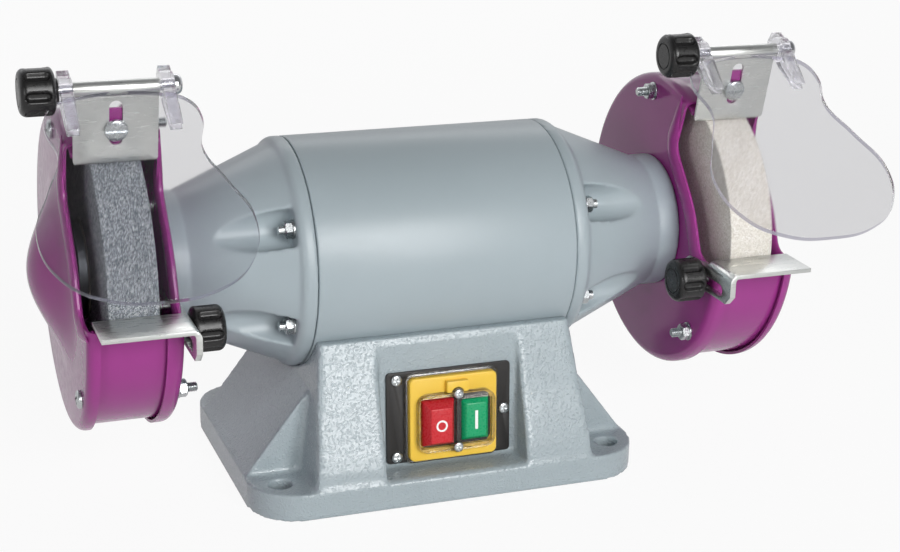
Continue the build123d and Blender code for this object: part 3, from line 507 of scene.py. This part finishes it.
# Guards: pressed dishes with a rolled bead along the mouth, and a rolled band between them
guardSizes = {
    "back": 143.0, "backLip": 152.0, "cover": 190.5, "coverLip": 184.0, "radius": 82.5, "sheet": 1.5, "corner": 5.0,
    "hole": 20.0, "bossHeight": 16.5, "bossRadius": 54.0, "mouthCorner": 7.0, "cutFrom": 120, "cutTo": 230,
    "bandRadius": 79.5, "bandStart": 145.6, "bandEnd": 187.9, "mouth": (-4.0, 61.5),  # degrees above the level
    "beadRadius": 5.3, "beadFlat": 0.44, "beadCorner": 8.0, "beadEnd": 0.15,
}
guardSharp = 40  # degrees
mouthOutline = [(-37.5, 85), (-24, 46), (-50, 15), (-61, -5.5), (-120, -5.5), (-120, 85)]  # y, z from the spindle
beadPath = [(-29.3, 78), (-20, 46.8), (-46.8, 17.2), (-58.4, -9.5), (-81.2, -9.5)]


def mouthTool():  # cuts the mouth through a dish
    g = guardSizes
    flat = bmesh.new()
    flat.faces.new([flat.verts.new((0, y, z + axisHeight)) for y, z in mouthOutline])
    bmesh.ops.bevel(flat, geom=flat.verts[:5], offset=g["mouthCorner"], segments=8, affect="VERTICES", **bevelOptions)
    return placed(pulled(flat, (g["cutTo"] - g["cutFrom"], 0, 0)), Matrix.Translation((g["cutFrom"], 0, 0)))


def beadShape(x):  # flattened tube along the mouth edge
    g = guardSizes
    wire = bmesh.new()
    verts = [wire.verts.new((x, y, z + axisHeight)) for y, z in beadPath]
    for pair in zip(verts, verts[1:]):
        wire.edges.new(pair)
    bmesh.ops.bevel(wire, geom=verts[1:-1], offset=g["beadCorner"], segments=8, affect="VERTICES", **bevelOptions)
    ends = [v for v in wire.verts if len(v.link_edges) == 1]
    walk = [max(ends, key=lambda v: v.co.z)]
    while True:
        following = [e.other_vert(walk[-1]) for e in walk[-1].link_edges if e.other_vert(walk[-1]) not in walk[-2:]]
        if not following:
            break
        walk.append(following[0])
    inside = [v.co.copy() for v in walk if hypot(v.co.y, v.co.z - axisHeight) < g["radius"] + 2]
    wire.free()
    line = bpy.data.curves.new("work", "CURVE")
    line.dimensions = "3D"
    line.bevel_depth = g["beadRadius"]
    line.bevel_resolution = 5
    line.use_fill_caps = True
    spline = line.splines.new("NURBS")
    spline.points.add(len(inside) - 1)
    for point, co in zip(spline.points, inside):
        point.co = (*co, 1)
    spline.points[0].radius = spline.points[-1].radius = g["beadEnd"]  # the ends run out into the sheet
    spline.order_u = 3
    spline.use_endpoint_u = True
    shape = curveShape(line)
    for v in shape.verts:
        v.co.x = x + (v.co.x - x) * g["beadFlat"]
    return shape


def dishShape(face, lip, boss):
    g = guardSizes
    t = g["sheet"] if lip > face else -g["sheet"]
    under = g["radius"] - g["sheet"]
    profile = [(face, g["hole"]), (face, g["radius"]), (lip, g["radius"])]
    profile += [(lip, under), (face + t, under), (face + t, g["hole"])]
    if boss:  # the cover closes over the spindle end in a smooth nose
        steps = [i / 20 for i in range(21)]
        nose = [(face + g["bossHeight"] * (0.5 + 0.5 * cos(pi * s)), g["bossRadius"] * s) for s in steps]
        profile = nose + profile[1:5] + [(x - g["sheet"], r) for x, r in reversed(nose)]
    shape = spinShape(profile, 192, closed=not boss)
    for x, radius, bend in ((face, g["radius"], g["corner"]), (face + t, under, g["corner"] - g["sheet"])):
        there = [v for v in shape.verts if abs(v.co.x - x) < 0.01]
        ring = {v for v in there if abs(hypot(v.co.y, v.co.z - axisHeight) - radius) < 0.01}
        edges = [e for e in shape.edges if ring.issuperset(e.verts)]
        bmesh.ops.bevel(shape, geom=edges, offset=bend, segments=6, affect="EDGES", **bevelOptions)
    return together(weld(cut(shape, mouthTool())), beadShape(face))


def bandShape():
    g = guardSizes
    low, high = g["bandStart"], g["bandEnd"]
    rim, under = g["bandRadius"], g["bandRadius"] - g["sheet"]
    end, start = g["mouth"]
    profile = [(low, under), (low, rim), (high, rim), (high, under)]
    return spinShape(profile, 180, True, radians(360 - start + end), radians(start))


# Leaning tab on the band that carries the deflector
tabSizes = {"half": 17.5, "tall": 25, "thick": 2, "corner": 3.0, "lean": 13.5, "foot": (166.5, -37.576, 189.206)}
sheetEdgeBreak = 0.3  # deburred sheet


def axesAt(across, up, out, origin):  # a place from its three axes
    place = Matrix((Vector(across), Vector(up), Vector(out))).transposed().to_4x4()
    place.translation = Vector(origin)
    return place


def tabPlane():  # x across, y up the plate, z out to the front
    lean = radians(tabSizes["lean"])
    return axesAt((1, 0, 0), (0, -sin(lean), cos(lean)), (0, -cos(lean), -sin(lean)), tabSizes["foot"])


def tabShape():
    half, tall, out = tabSizes["half"], tabSizes["tall"], tabSizes["thick"] / 2
    shape = block((-half, 0, -out), (half, tall, out))

    def upper(p):
        return p.y > tall - 1 and abs(p.z) < out / 2 and abs(p.x) > half - 0.5

    roundEdges(shape, tabSizes["corner"], 4, keep=upper)
    return placed(roundEdges(shape, sheetEdgeBreak), tabPlane())


# Ears inside the band that take the guard bolts
earSizes = {
    "circle": 72.0, "angles": (94, -43, 205), "half": (6.2, 6), "thick": 1.5, "edge": 0.2, "at": (145.45, 188.05),
}


def earShapes():
    wide, tall = earSizes["half"]
    out = earSizes["thick"] / 2
    ear = roundEdges(block((-wide, -tall, -out), (wide, tall, out)), earSizes["edge"], 1)
    places = [aroundSpindle(d, earSizes["circle"], x) for d in earSizes["angles"] for x in earSizes["at"]]
    return stamped(ear, places)


for side, turned in sides.items():
    for part, boss in (("back", False), ("cover", True)):
        dish = turned(dishShape(guardSizes[part], guardSizes[part + "Lip"], boss))
        finishPiece(dish, side + "_" + part + "_dish", guardPaint, "frame", side + "_guard_" + part, sharp=guardSharp)
    band = turned(together(bandShape(), tabShape(), earShapes()))
    finishPiece(band, side + "_rolled_band", guardPaint, "frame", side + "_guard_band", sharp=guardSharp)
print("guards done")

# Clamping knobs: moulded, seven oval dents round the body
knobSizes = {
    "radius": 11.5, "neck": 6.0, "neckStep": 0.4, "shoulder": 2.6, "corner": 3.4, "bore": 2.7, "boreDepth": 9,
    "dents": 7, "dentDepth": 2.3, "dentHalf": 2.6, "dentRun": 3.6, "dentLift": 0.3, "plain": 0.6, "turn": 12,
    "groove": ((7.2, 0), (6.9, 0.5), (6.5, 0.5), (6.2, 0)),  # radius and depth in the end face
    "restLengths": (0.6, 16.4), "shieldLengths": (1.2, 17.0),  # neck and body
}


def knobShape(neckLength, bodyLength):
    k = knobSizes
    start, end = neckLength, neckLength + bodyLength
    rim, rise, corner, inner = k["radius"], k["shoulder"], k["corner"], k["neck"] + k["neckStep"]
    straight = end - corner - start - rise
    profile = [(0, k["boreDepth"]), (k["bore"], k["boreDepth"]), (k["bore"], 0), (k["neck"], 0)]
    profile.append((k["neck"], start - k["neckStep"]))
    for a in [radians(d) for d in range(0, 91, 10)]:
        profile.append((inner + (rim - inner) * sin(a), start + rise * (1 - cos(a))))
    profile += [(rim, start + rise + straight * i / 20) for i in range(1, 21)]
    for a in [radians(d) for d in range(9, 91, 9)]:
        profile.append((rim - corner * (1 - cos(a)), end - corner * (1 - sin(a))))
    profile += [(r, end - deep) for r, deep in k["groove"]] + [(0, end)]
    shape = polePiece(profile, 147)
    step = 2 * pi / k["dents"]
    for v in shape.verts:
        radius = hypot(v.co.x, v.co.y)
        if radius < k["neck"] + k["plain"] or v.co.z > end - k["plain"]:
            continue
        theta = atan2(v.co.y, v.co.x)
        aside = (theta - round(theta / step) * step) * k["radius"] / k["dentHalf"]
        beyond = max(0.0, abs(v.co.z - (start + end) / 2 - k["dentLift"]) - k["dentRun"]) / k["dentHalf"]
        inside = max(0.0, 1 - aside ** 2 - beyond ** 2)
        pull = k["dentDepth"] * inside * (2 - inside)
        v.co.x *= (radius - pull) / radius
        v.co.y *= (radius - pull) / radius
    return shape


def placeKnob(side, use, origin, direction):
    turn = Vector((0, 0, 1)).rotation_difference(Vector(direction)).to_matrix().to_4x4()
    place = Matrix.Translation(origin) @ turn @ Matrix.Rotation(radians(knobSizes["turn"]), 4, "Z")
    shape = placed(knobShape(*knobSizes[use + "Lengths"]), place)
    head = side + "_" + use
    finishPiece(shape, head + "_handle", knobPlastic, head + "_clamp", head + "_knob", sharp=50)


restStud = (139.4, -70, 107)  # where the knob meets the rest's leg
rodPlace = (166.5, -47.919, 224.364)  # centre of the shield rod
rodHalf = 27.5  # from there to the knob's seat
shieldShifts = {"right": 0.0, "left": -2 * rodPlace[0]}  # both shield knobs sit on the left, so nothing is mirrored
placeKnob("right", "rest", restStud, (-1, 0, 0))
placeKnob("left", "rest", (-restStud[0], *restStud[1:]), (1, 0, 0))
for side, shift in shieldShifts.items():
    placeKnob(side, "shield", (rodPlace[0] + shift - rodHalf, *rodPlace[1:]), (-1, 0, 0))
print("knobs done")

# Eye shields: pear-shaped clear sheets with polished edges
shieldSizes = {
    "tilt": 55.5, "thick": 3.0, "edge": 0.5, "clipEdge": 0.5, "bottom": (0, 127.5),
    "half": [  # across, down
        (21, 6), (32.5, 10.8), (37, 22), (33.6, 42), (41, 61.5), (49.5, 86), (42, 111), (24, 124),
    ],
}


def shieldPlane(shift):  # x across, y down the sheet, z through it
    tilt = radians(shieldSizes["tilt"])
    down, out = (0, -sin(tilt), -cos(tilt)), (0, cos(tilt), -sin(tilt))
    return axesAt((1, 0, 0), down, out, (rodPlace[0] + shift, *rodPlace[1:]))


def sheetShape():
    half = shieldSizes["half"]
    outline = half + [shieldSizes["bottom"]] + [(-u, w) for u, w in reversed(half)]
    line = bpy.data.curves.new("work", "CURVE")
    line.dimensions = "3D"
    spline = line.splines.new("BEZIER")
    spline.bezier_points.add(len(outline) - 1)
    for point, (u, w) in zip(spline.bezier_points, outline):
        point.co = (u, w, -shieldSizes["thick"] / 2)
        point.handle_left_type = point.handle_right_type = "AUTO"
    spline.use_cyclic_u = True
    spline.resolution_u = 12
    shape = weld(curveShape(line), 0.01)
    bmesh.ops.contextual_create(shape, geom=shape.edges[:])
    return roundEdges(pulled(shape, (0, 0, shieldSizes["thick"])), shieldSizes["edge"], 3, 60)


def markRim(shape, place, limit):  # faces that look aside take the second material
    outward = place.to_3x3() @ Vector((0, 0, 1))
    for face in shape.faces:
        face.material_index = int(abs(face.normal @ outward) < limit)


# Spark deflectors: slot end just below the screw head, rounded lower corners
deflectorSizes = {"slot": (16.0, 9.6), "radius": 3.25, "drop": 1.5, "corner": 1.6, "cut": (-10, 20)}


def stadium(first, second, radius):  # outline of a slot between two end centres on a level line
    points = []
    for (u, v), turn in ((first, 0.0), (second, pi)):
        for a in [turn + pi * (i / 16 - 0.5) for i in range(17)]:
            points.append((u + radius * cos(a), v + radius * sin(a)))
    return points


def deflectorShape():
    d = deflectorSizes
    shape = placed(plateShape("right_deflector_plate"), tabPlane().inverted())
    for v in shape.verts:
        if v.co.y < 0:
            v.co.y -= d["drop"]
    low = [e for e in shape.edges if all(v.co.y < -1 for v in e.verts)]
    corners = [e for e in low if abs((e.verts[0].co - e.verts[1].co).x) < 0.01]
    bmesh.ops.bevel(shape, geom=corners, offset=d["corner"], segments=6, affect="EDGES", **bevelOptions)
    outline = stadium(*((y, 0) for y in d["slot"]), d["radius"])
    shape = cut(shape, prism([(-y, x) for x, y in outline], *d["cut"]))
    return roundEdges(placed(weld(shape, 0.002), tabPlane()), sheetEdgeBreak)


# Tool rests: the leg's slot runs on towards the front of the knob, and its rear corner is clipped
restSizes = {
    "slot": (-70.0, -91.0), "height": 107.0, "radius": 3.15, "cut": (130, 150), "edge": 0.35,
    "clip": ((-58, 117), (-45, 117), (-45, 108)),  # y, z
    "legFace": 142.5, "top": 117, "thinned": 0.8, "thinFrom": 113.4, "thinRun": 2,
}


def restShape():
    r = restSizes
    shape = plateShape("right_tool_rest")
    for v in shape.verts:  # the shelf is a little thinner than the leg
        if v.co.x > r["legFace"] and v.co.z < r["top"]:
            v.co.z += r["thinned"] * min(1.0, max(0.0, (v.co.z - r["thinFrom"]) / r["thinRun"]))
    slot = stadium(*((y, r["height"]) for y in r["slot"]), r["radius"])
    for points in (slot, r["clip"]):
        shape = cut(shape, placed(prism(points, *r["cut"]), sideways))
    return roundEdges(weld(shape, 0.002), r["edge"])


for side, turned in sides.items():
    deflector = turned(deflectorShape())
    finishPiece(deflector, side + "_deflector_sheet", zincPlate, side + "_deflector", side + "_deflector_plate")
for side, turned in sides.items():
    finishPiece(turned(restShape()), side + "_rest_plate", zincPlate, side + "_rest", side + "_tool_rest")
for side, shift in shieldShifts.items():
    sheet = placed(sheetShape(), shieldPlane(shift))
    markRim(sheet, shieldPlane(shift), 0.5)  # the rim is tinted darker than the faces: painted shade
    piece = finishPiece(sheet, side + "_clear_sheet", clearSheet, side + "_eye_shield", side + "_shield", sharp=30)
    piece.data.materials.append(sheetRimShade[0])
    dress(side + "_shield_clips", clearClip, shieldSizes["clipEdge"])
    dress(side + "_shield_rod", chrome, 0.0)
print("shields done")

# Fasteners: headed screws, chamfered nuts, rolled threads
fixings = {
    "circle": 73.0, "thread": 2.5, "pitch": 0.8, "core": 0.45, "tip": 0.7, "end": 0.4, "lead": 0.3,
    "nut": (8.0, 4.0, 2.6), "chamfer": 0.9, "nutsAt": (138.0, 183.3),  # nut: across flats, height, bore
    "bolts": (132.6, 13.6, 146.2), "screws": (182.4, 8.2, 190.5),  # start, length, head
    "guardHead": (4.7, 2.8, 2, 1.1, 1.4), "headEdge": 0.15,  # radius, height, slots, their width and depth
    "tabHead": (5.7, 2.6, 1, 1.3, 1.4), "tabSeat": (0, 14.5, 2.66), "tabShank": (-9.0, 0.5),
    "washer": [(2.6, 0), (4.9, 0), (5.0, 0.1), (5.0, 0.9), (4.9, 1.0), (2.6, 1.0), (2.6, 0)], "washerEdge": 0.15,
    "rodWasherAt": 79.5, "rodNutAt": 80.5,
}


def headShape(radius, height, slots, slotWidth, slotDepth):  # domed head seated at z 0, with a slot or a cross
    rise = [(radius * sin(a), height * (0.45 + 0.55 * cos(a))) for a in [radians(d) for d in range(0, 91, 9)]]
    edge = fixings["headEdge"]
    shape = polePiece(rise + [(radius, edge), (radius - edge, 0), (0, 0)], 40)
    reach = radius * (2 if slots == 1 else 0.62)  # a cross ends inside the head
    for turn in range(slots):
        tool = block((-reach, -slotWidth / 2, height - slotDepth), (reach, slotWidth / 2, 2 * height))
        shape = cut(shape, placed(tool, Matrix.Rotation(radians(90 * turn), 4, "Z")))
    return shape


def nutShape(width, height, bore):  # hexagon with turned chamfers and a bore
    corner, flat, chamfer = width / 2 / cos(radians(30)), width / 2 - 0.1, fixings["chamfer"]
    wide = corner + 0.3  # clear of the corners
    hexagon = prism([(corner * cos(a), corner * sin(a)) for a in [radians(60 * i) for i in range(6)]], 0, height)
    outline = [(0, 0), (flat, 0), (wide, chamfer), (wide, height - chamfer), (flat, height), (0, height)]
    shape = combined(hexagon, polePiece(outline, 48), "INTERSECT")
    return cut(shape, polePiece([(0, -1), (bore, -1), (bore, height + 1), (0, height + 1)], 32))


def threadShape(low, high):  # rolled thread drawn as rings
    radius, pitch, core, lead = (fixings[key] for key in ("thread", "pitch", "core", "lead"))
    profile = [(0, low), (radius - fixings["tip"], low)]
    for i in range(int((high - low) / pitch)):
        profile += [(radius - core, low + lead + pitch * i), (radius, low + lead + pitch * (i + 0.5))]
    return polePiece(profile + [(radius - fixings["end"], high), (0, high)], 28)


def bothSides(places):
    return places + [Matrix.Scale(-1, 4, (1, 0, 0)) @ place for place in places]


def guardPlaces(x):
    return bothSides([aroundSpindle(d, fixings["circle"], x) for d in earSizes["angles"]])


def rodPlaces(x):
    return bothSides([aroundSpindle(d, bellSizes["circle"], x) for d in bellSizes["angles"]])


def screwSet(start, length, head):  # shanks and heads all round both guards
    shanks = stamped(threadShape(0.0, length), guardPlaces(start))
    return shanks, stamped(headShape(*fixings["guardHead"]), guardPlaces(head))


finishPiece(together(*screwSet(*fixings["bolts"])), "guard_bolt_set", brightSteel, "frame", "guard_bolts")
nuts = stamped(nutShape(*fixings["nut"]), [place for x in fixings["nutsAt"] for place in guardPlaces(x)])
finishPiece(nuts, "guard_nut_set", brightSteel, "frame", "guard_nuts")
finishPiece(together(*reversed(screwSet(*fixings["screws"]))), "cover_screw_set", brightSteel, "frame", "cover_screws")
dress("guard_washers", brightSteel, fixings["washerEdge"])
rodNuts = stamped(nutShape(*fixings["nut"]), rodPlaces(fixings["rodNutAt"]))
rodWashers = stamped(polePiece(fixings["washer"], 40), rodPlaces(fixings["rodWasherAt"]))
finishPiece(together(rodNuts, rodWashers), "tie_rod_nut_set", brightSteel, "frame", "tie_rod_nuts")
tabScrew = together(headShape(*fixings["tabHead"]), threadShape(*fixings["tabShank"]))
tabScrews = stamped(tabScrew, bothSides([tabPlane() @ Matrix.Translation(fixings["tabSeat"])]))
finishPiece(tabScrews, "deflector_screw_set", brightSteel, "frame", "deflector_screws")
print("fasteners done")

# Switch: black plate, yellow housing, clear cover and two push buttons
switch = {  # places on the panel are a centre and a size, heights are above the panel
    "origin": (0, -59.8, 42.5), "tilt": 3.7, "plateEdge": 0.3, "plateTop": 1.5, "glandEdge": 0.4,
    "housing": ((0.8, -0.5), (48.4, 45.6)), "housingFoot": 1.5, "housingTop": 7.0, "housingCorner": 3.0,
    "latch": ((2.0, 16.9), (12.0, 6.0)), "latchFoot": 6.0, "latchTop": 10.4, "latchCorner": 0.4,
    "well": ((1.45, -2.15), (39.6, 28.4)), "wellFoot": 6.6, "wellTop": 7.04, "wellCorner": 5.0,
    "cover": ((1.45, -2.15), (42.9, 31.7)), "coverFoot": 7.05, "coverTop": 11.0, "coverCorner": 6.0,
    "skirt": ((0.8, -0.5), (51.6, 49.0)), "skirtFoot": 1.55, "skirtTop": 4.2, "skirtCorner": 4.0,
    "hole": ((0.8, -0.5), (48.7, 45.9)), "holeFoot": 0, "holeTop": 30, "holeCorner": 3.0,  # inside the skirt
    "housingEdge": 0.8, "latchEdge": 0.35, "coverEdge": 0.7, "skirtEdge": 0.5, "edgeAngle": 40,
    "lug": 3.2, "lugRoom": 0.25, "buttonRoom": 0.4, "coverRoom": 1.2, "openCorner": 1.5, "toolTop": 30,
    "buttonFoot": 0.3, "buttonEdge": 0.45, "buttonAngle": 15,
    "stop": ((-8.9, -1.7), (17.6, 24.8)), "stopShoulder": 10.0, "stopTop": 16.0, "stopFacet": 4.4,
    "start": ((12.3, -2.5), (15.0, 22.6)), "startShoulder": 8.2, "startTop": 10.6, "startFacet": 3.0,
    "coverScrews": ((2.0, 13.3), (2.0, -16.1)), "coverHead": (2.6, 1.6, 2, 0.8, 1.0),
    "plateScrews": ((-29, 21), (-29, -21.5), (31, -1)), "plateHead": (3.0, 1.7, 2, 0.9, 1.0),
    "ring": (2.15, 3.15), "bar": (1.6, 10.3), "barCorner": 0.3, "mark": (-0.3, 0.1),
}


def panelPlane(u=0.0, v=0.0, n=0.0):  # x across, y up, z out
    tilt = radians(switch["tilt"])
    place = axesAt((1, 0, 0), (0, sin(tilt), cos(tilt)), (0, -cos(tilt), sin(tilt)), switch["origin"])
    return place @ Matrix.Translation((u, v, n))


def onPanel(shape):
    return placed(shape, panelPlane())


def roundedSlab(centre, size, low, high, corner):
    (u, v), (wide, tall) = centre, size
    shape = block((u - wide / 2, v - tall / 2, low), (u + wide / 2, v + tall / 2, high))
    upright = [e for e in shape.edges if abs((e.verts[0].co - e.verts[1].co).z) > 0.01]
    bmesh.ops.bevel(shape, geom=upright, offset=corner, segments=8, affect="EDGES", **bevelOptions)
    return shape


def slab(key):
    return roundedSlab(*switch[key], switch[key + "Foot"], switch[key + "Top"], switch[key + "Corner"])


def broken(shape, key, segments):  # its edges broken
    return roundEdges(shape, switch[key + "Edge"], segments, switch["edgeAngle"])


def opened(shape, room):  # cut clear of both buttons
    for key in ("stop", "start"):
        centre, (wide, tall) = switch[key]
        size = (wide + 2 * room, tall + 2 * room)
        shape = cut(shape, roundedSlab(centre, size, 0, switch["toolTop"], switch["openCorner"]))
    return shape


def post(spot, radius, low, high):
    shape = polePiece([(0, low), (radius, low), (radius, high), (0, high)], 40)
    return placed(shape, Matrix.Translation((*spot, 0)))


def buttonShape(key):  # straight sides, then four facets up to a smaller face
    (u, v), (wide, tall) = switch[key]
    shoulder = switch[key + "Shoulder"]
    shape = block((u - wide / 2, v - tall / 2, switch["buttonFoot"]), (u + wide / 2, v + tall / 2, shoulder))
    face = max(shape.faces, key=lambda f: f.calc_center_median().z)
    bmesh.ops.inset_region(shape, faces=[face], thickness=switch[key + "Facet"], depth=switch[key + "Top"] - shoulder)
    return roundEdges(shape, switch["buttonEdge"], 3, switch["buttonAngle"])


dress("switch_plate", platePlastic, switch["plateEdge"])
housing = opened(broken(slab("housing"), "housing", 3), switch["buttonRoom"])
latch = broken(slab("latch"), "latch", 2)
for spot in switch["coverScrews"]:
    latch = cut(latch, post(spot, switch["lug"] + switch["lugRoom"], switch["housingTop"], switch["toolTop"]))
finishPiece(onPanel(together(housing, latch)), "yellow_housing", yellowPlastic, "frame", "switch_housing")
# A black slab under the clear cover: the contact carrier, and painted shade in the gaps round the buttons.
finishPiece(onPanel(opened(slab("well"), switch["buttonRoom"])), "contact_carrier_and_painted_shade", platePlastic, "frame")
cover = slab("cover")
for spot in switch["coverScrews"]:
    cover = combined(cover, post(spot, switch["lug"], switch["coverFoot"], switch["coverTop"]), "UNION")
cover = onPanel(broken(opened(cover, switch["coverRoom"]), "cover", 3))
markRim(cover, panelPlane(), 0.8)  # the rim takes a darker colour: painted shade of the dark below it
piece = finishPiece(cover, "clear_switch_cover", coverClear, "frame", "switch_cover")
piece.data.materials.append(coverRimShade[0])
skirt = broken(cut(slab("skirt"), slab("hole")), "skirt", 2)
finishPiece(onPanel(skirt), "clear_housing_skirt", coverClear, "frame")
for part in ("cover", "plate"):
    places = [panelPlane(*spot, switch[part + "Top"]) for spot in switch[part + "Screws"]]
    heads = stamped(headShape(*switch[part + "Head"]), places)
    finishPiece(heads, part + "_screw_heads", brightSteel, "frame", "switch_" + part + "_screws")
for key, colour, finish in (("stop", "red", redPlastic), ("start", "green", greenPlastic)):
    finishPiece(onPanel(buttonShape(key)), colour + "_button", finish, key + "_press_button", key + "_button")
inner, outer = switch["ring"]
low, high = (switch["stopTop"] + step for step in switch["mark"])
ring = polePiece([(inner, low), (outer, low), (outer, high), (inner, high), (inner, low)], 48)
placed(ring, Matrix.Translation((*switch["stop"][0], 0)))
finishPiece(onPanel(ring), "stop_ring_mark", whiteMark, "stop_press_button")
low, high = (switch["startTop"] + step for step in switch["mark"])
bar = roundedSlab(switch["start"][0], switch["bar"], low, high, switch["barCorner"])
finishPiece(onPanel(bar), "start_bar_mark", whiteMark, "start_press_button")
dress("cable_gland", glandPlastic, switch["glandEdge"])
print("switch done")

# CAD nodes inside the machine keep their shape and take a material
plainFinishes = {
    # the wheel flanges take this dark steel as painted shade inside the guards
    groundSteelAndShade: (
        "shaft", "rotor", "bearing_outer_rings", "bearing_inner_rings", "bearing_balls",
        "inner_wheel_flanges", "outer_wheel_flanges", "wheel_nuts",
    ),
    brightSteel: (
        "saddle_bolts", "tie_rods", "guard_mount_screws", "deflector_nuts", "bottom_plate_screws", "rest_studs",
    ),
    zincPlate: ("bottom_plate",),
    coreSteel: ("stator_core",), coilCopper: ("stator_windings",), blotterPaper: ("wheel_blotters",),
    glandPlastic: ("capacitor", "switch_contact_block"),
}
for finish, names in plainFinishes.items():
    for name in names:
        nodes[name].data.materials.clear()
        nodes[name].data.materials.append(finish[0])

# Floor, light and camera
floorSizes = {"radius": 6.0, "drop": 0.0005}  # metres; the drop keeps it clear of the foot
floorMesh = bpy.data.meshes.new("floor")
floorShape = bmesh.new()
bmesh.ops.create_circle(floorShape, cap_ends=True, segments=96, radius=floorSizes["radius"])
bmesh.ops.translate(floorShape, vec=(0, 0, -floorSizes["drop"]), verts=floorShape.verts)
floorShape.to_mesh(floorMesh)
floorShape.free()
floor = addObject("floor", floorMesh)

# White sweep: pale card that shows pure white to the camera and keeps soft shadows
floorMaterial, tree, shader, place = startMaterial("white_sweep", "#F2F2F2", 0.9)
rays = addNode(tree, "ShaderNodeLightPath").outputs
seen = addNode(tree, "ShaderNodeMath", {0: rays["Is Camera Ray"], 1: rays["Is Glossy Ray"]}, operation="MAXIMUM")
seen = addNode(tree, "ShaderNodeMath", {0: seen.outputs[0], 1: rays["Is Transmission Ray"]}, operation="MAXIMUM")
dimmed = {0: rays["Is Glossy Ray"], 1: -0.42, 2: 0.92}  # reflections keep more of the shadow
glow = addNode(tree, "ShaderNodeMath", dimmed, operation="MULTIPLY_ADD")
glow = addNode(tree, "ShaderNodeMath", {0: seen.outputs[0], 1: glow.outputs[0]}, operation="MULTIPLY")
white = addNode(tree, "ShaderNodeEmission", {"Color": (1, 1, 1, 1), "Strength": 1.0})
mixed = addNode(tree, "ShaderNodeMixShader", {0: glow.outputs[0], 1: shader.outputs[0], 2: white.outputs[0]})
feed(tree, tree.nodes["Material Output"], {"Surface": mixed.outputs[0]})
floorMesh.materials.append(floorMaterial)

# Studio: white behind, a dim room above and in front, so that metal has something dark to show
world = bpy.data.worlds.new("studio")
world.use_nodes = True
bpy.context.scene.world = world
sky = world.node_tree
rays = addNode(sky, "ShaderNodeLightPath").outputs
seen = addNode(sky, "ShaderNodeMath", {0: rays["Is Camera Ray"], 1: rays["Is Transmission Ray"]}, operation="MAXIMUM")
facing = addNode(sky, "ShaderNodeSeparateXYZ", {0: addNode(sky, "ShaderNodeTexCoord").outputs["Generated"]}).outputs
depth = addNode(sky, "ShaderNodeMath", {0: facing["Z"], 1: -0.8, 2: facing["Y"]}, operation="MULTIPLY_ADD")
span = {"Value": depth.outputs[0], "From Min": -0.7, "From Max": 0.4, "To Min": 0.25, "To Max": 1.0}
level = addNode(sky, "ShaderNodeMapRange", span)
glossy = addNode(sky, "ShaderNodeMath", {0: rays["Is Glossy Ray"], 1: 0.66, 2: 0.24}, operation="MULTIPLY_ADD")
amount = addNode(sky, "ShaderNodeMath", {0: level.outputs[0], 1: glossy.outputs[0]}, operation="MULTIPLY")
soft = sky.nodes["Background"]
feed(sky, soft, {"Color": (0.96, 0.97, 1.0, 1), "Strength": amount.outputs[0]})
bright = addNode(sky, "ShaderNodeBackground", {"Color": (1, 1, 1, 1), "Strength": 1.0})
both = addNode(sky, "ShaderNodeMixShader", {0: seen.outputs[0], 1: soft.outputs[0], 2: bright.outputs[0]})
feed(sky, sky.nodes["World Output"], {"Surface": both.outputs[0]})

lamps = {  # place, size and power of each soft box, metres and watts
    "keyBox": {"at": (0.2, -1.85, 0.92), "size": (1.2, 0.8), "watts": 27},
    "leftBox": {"at": (-1.6, -1.2, 0.5), "size": (0.5, 0.5), "watts": 4.5},
    "lowBox": {"at": (0.45, -1.75, 0.32), "size": (0.35, 0.3), "watts": 4},
    "backBox": {"at": (0.3, 1.4, 1.1), "size": (2.4, 0.8), "watts": 9, "aim": (0.3, 1.4, 0.0)},
}
aim = (0.0, 0.0, axisHeight / 1000)
for name, lamp in lamps.items():
    data = bpy.data.lights.new(name, "AREA")
    data.shape = "RECTANGLE"
    data.size, data.size_y = lamp["size"]
    data.energy = lamp["watts"]
    light = addObject(name, data)
    light.location = lamp["at"]
    beam = Vector(lamp.get("aim", aim)) - Vector(lamp["at"])
    light.rotation_euler = beam.to_track_quat("-Z", "Y").to_euler()

view = {  # the photo's camera, metres
    "at": (-0.3119, -0.9, 0.4203), "right": (0.9398, -0.3411, 0.0204), "up": (0.0909, 0.307, 0.9474),
    "back": (-0.3294, -0.8885, 0.3195), "lens": 73.36, "sensor": 36.0,
}
cameraData = bpy.data.cameras.new("photoCamera")
cameraData.sensor_fit = "HORIZONTAL"
cameraData.sensor_width = view["sensor"]
cameraData.lens = view["lens"]
cameraData.clip_start = 0.01
camera = addObject("photoCamera", cameraData)
camera.matrix_world = axesAt(view["right"], view["up"], view["back"], view["at"])
bpy.context.scene.camera = camera
bpy.context.scene.view_settings.view_transform = "Standard"
print("stage set")
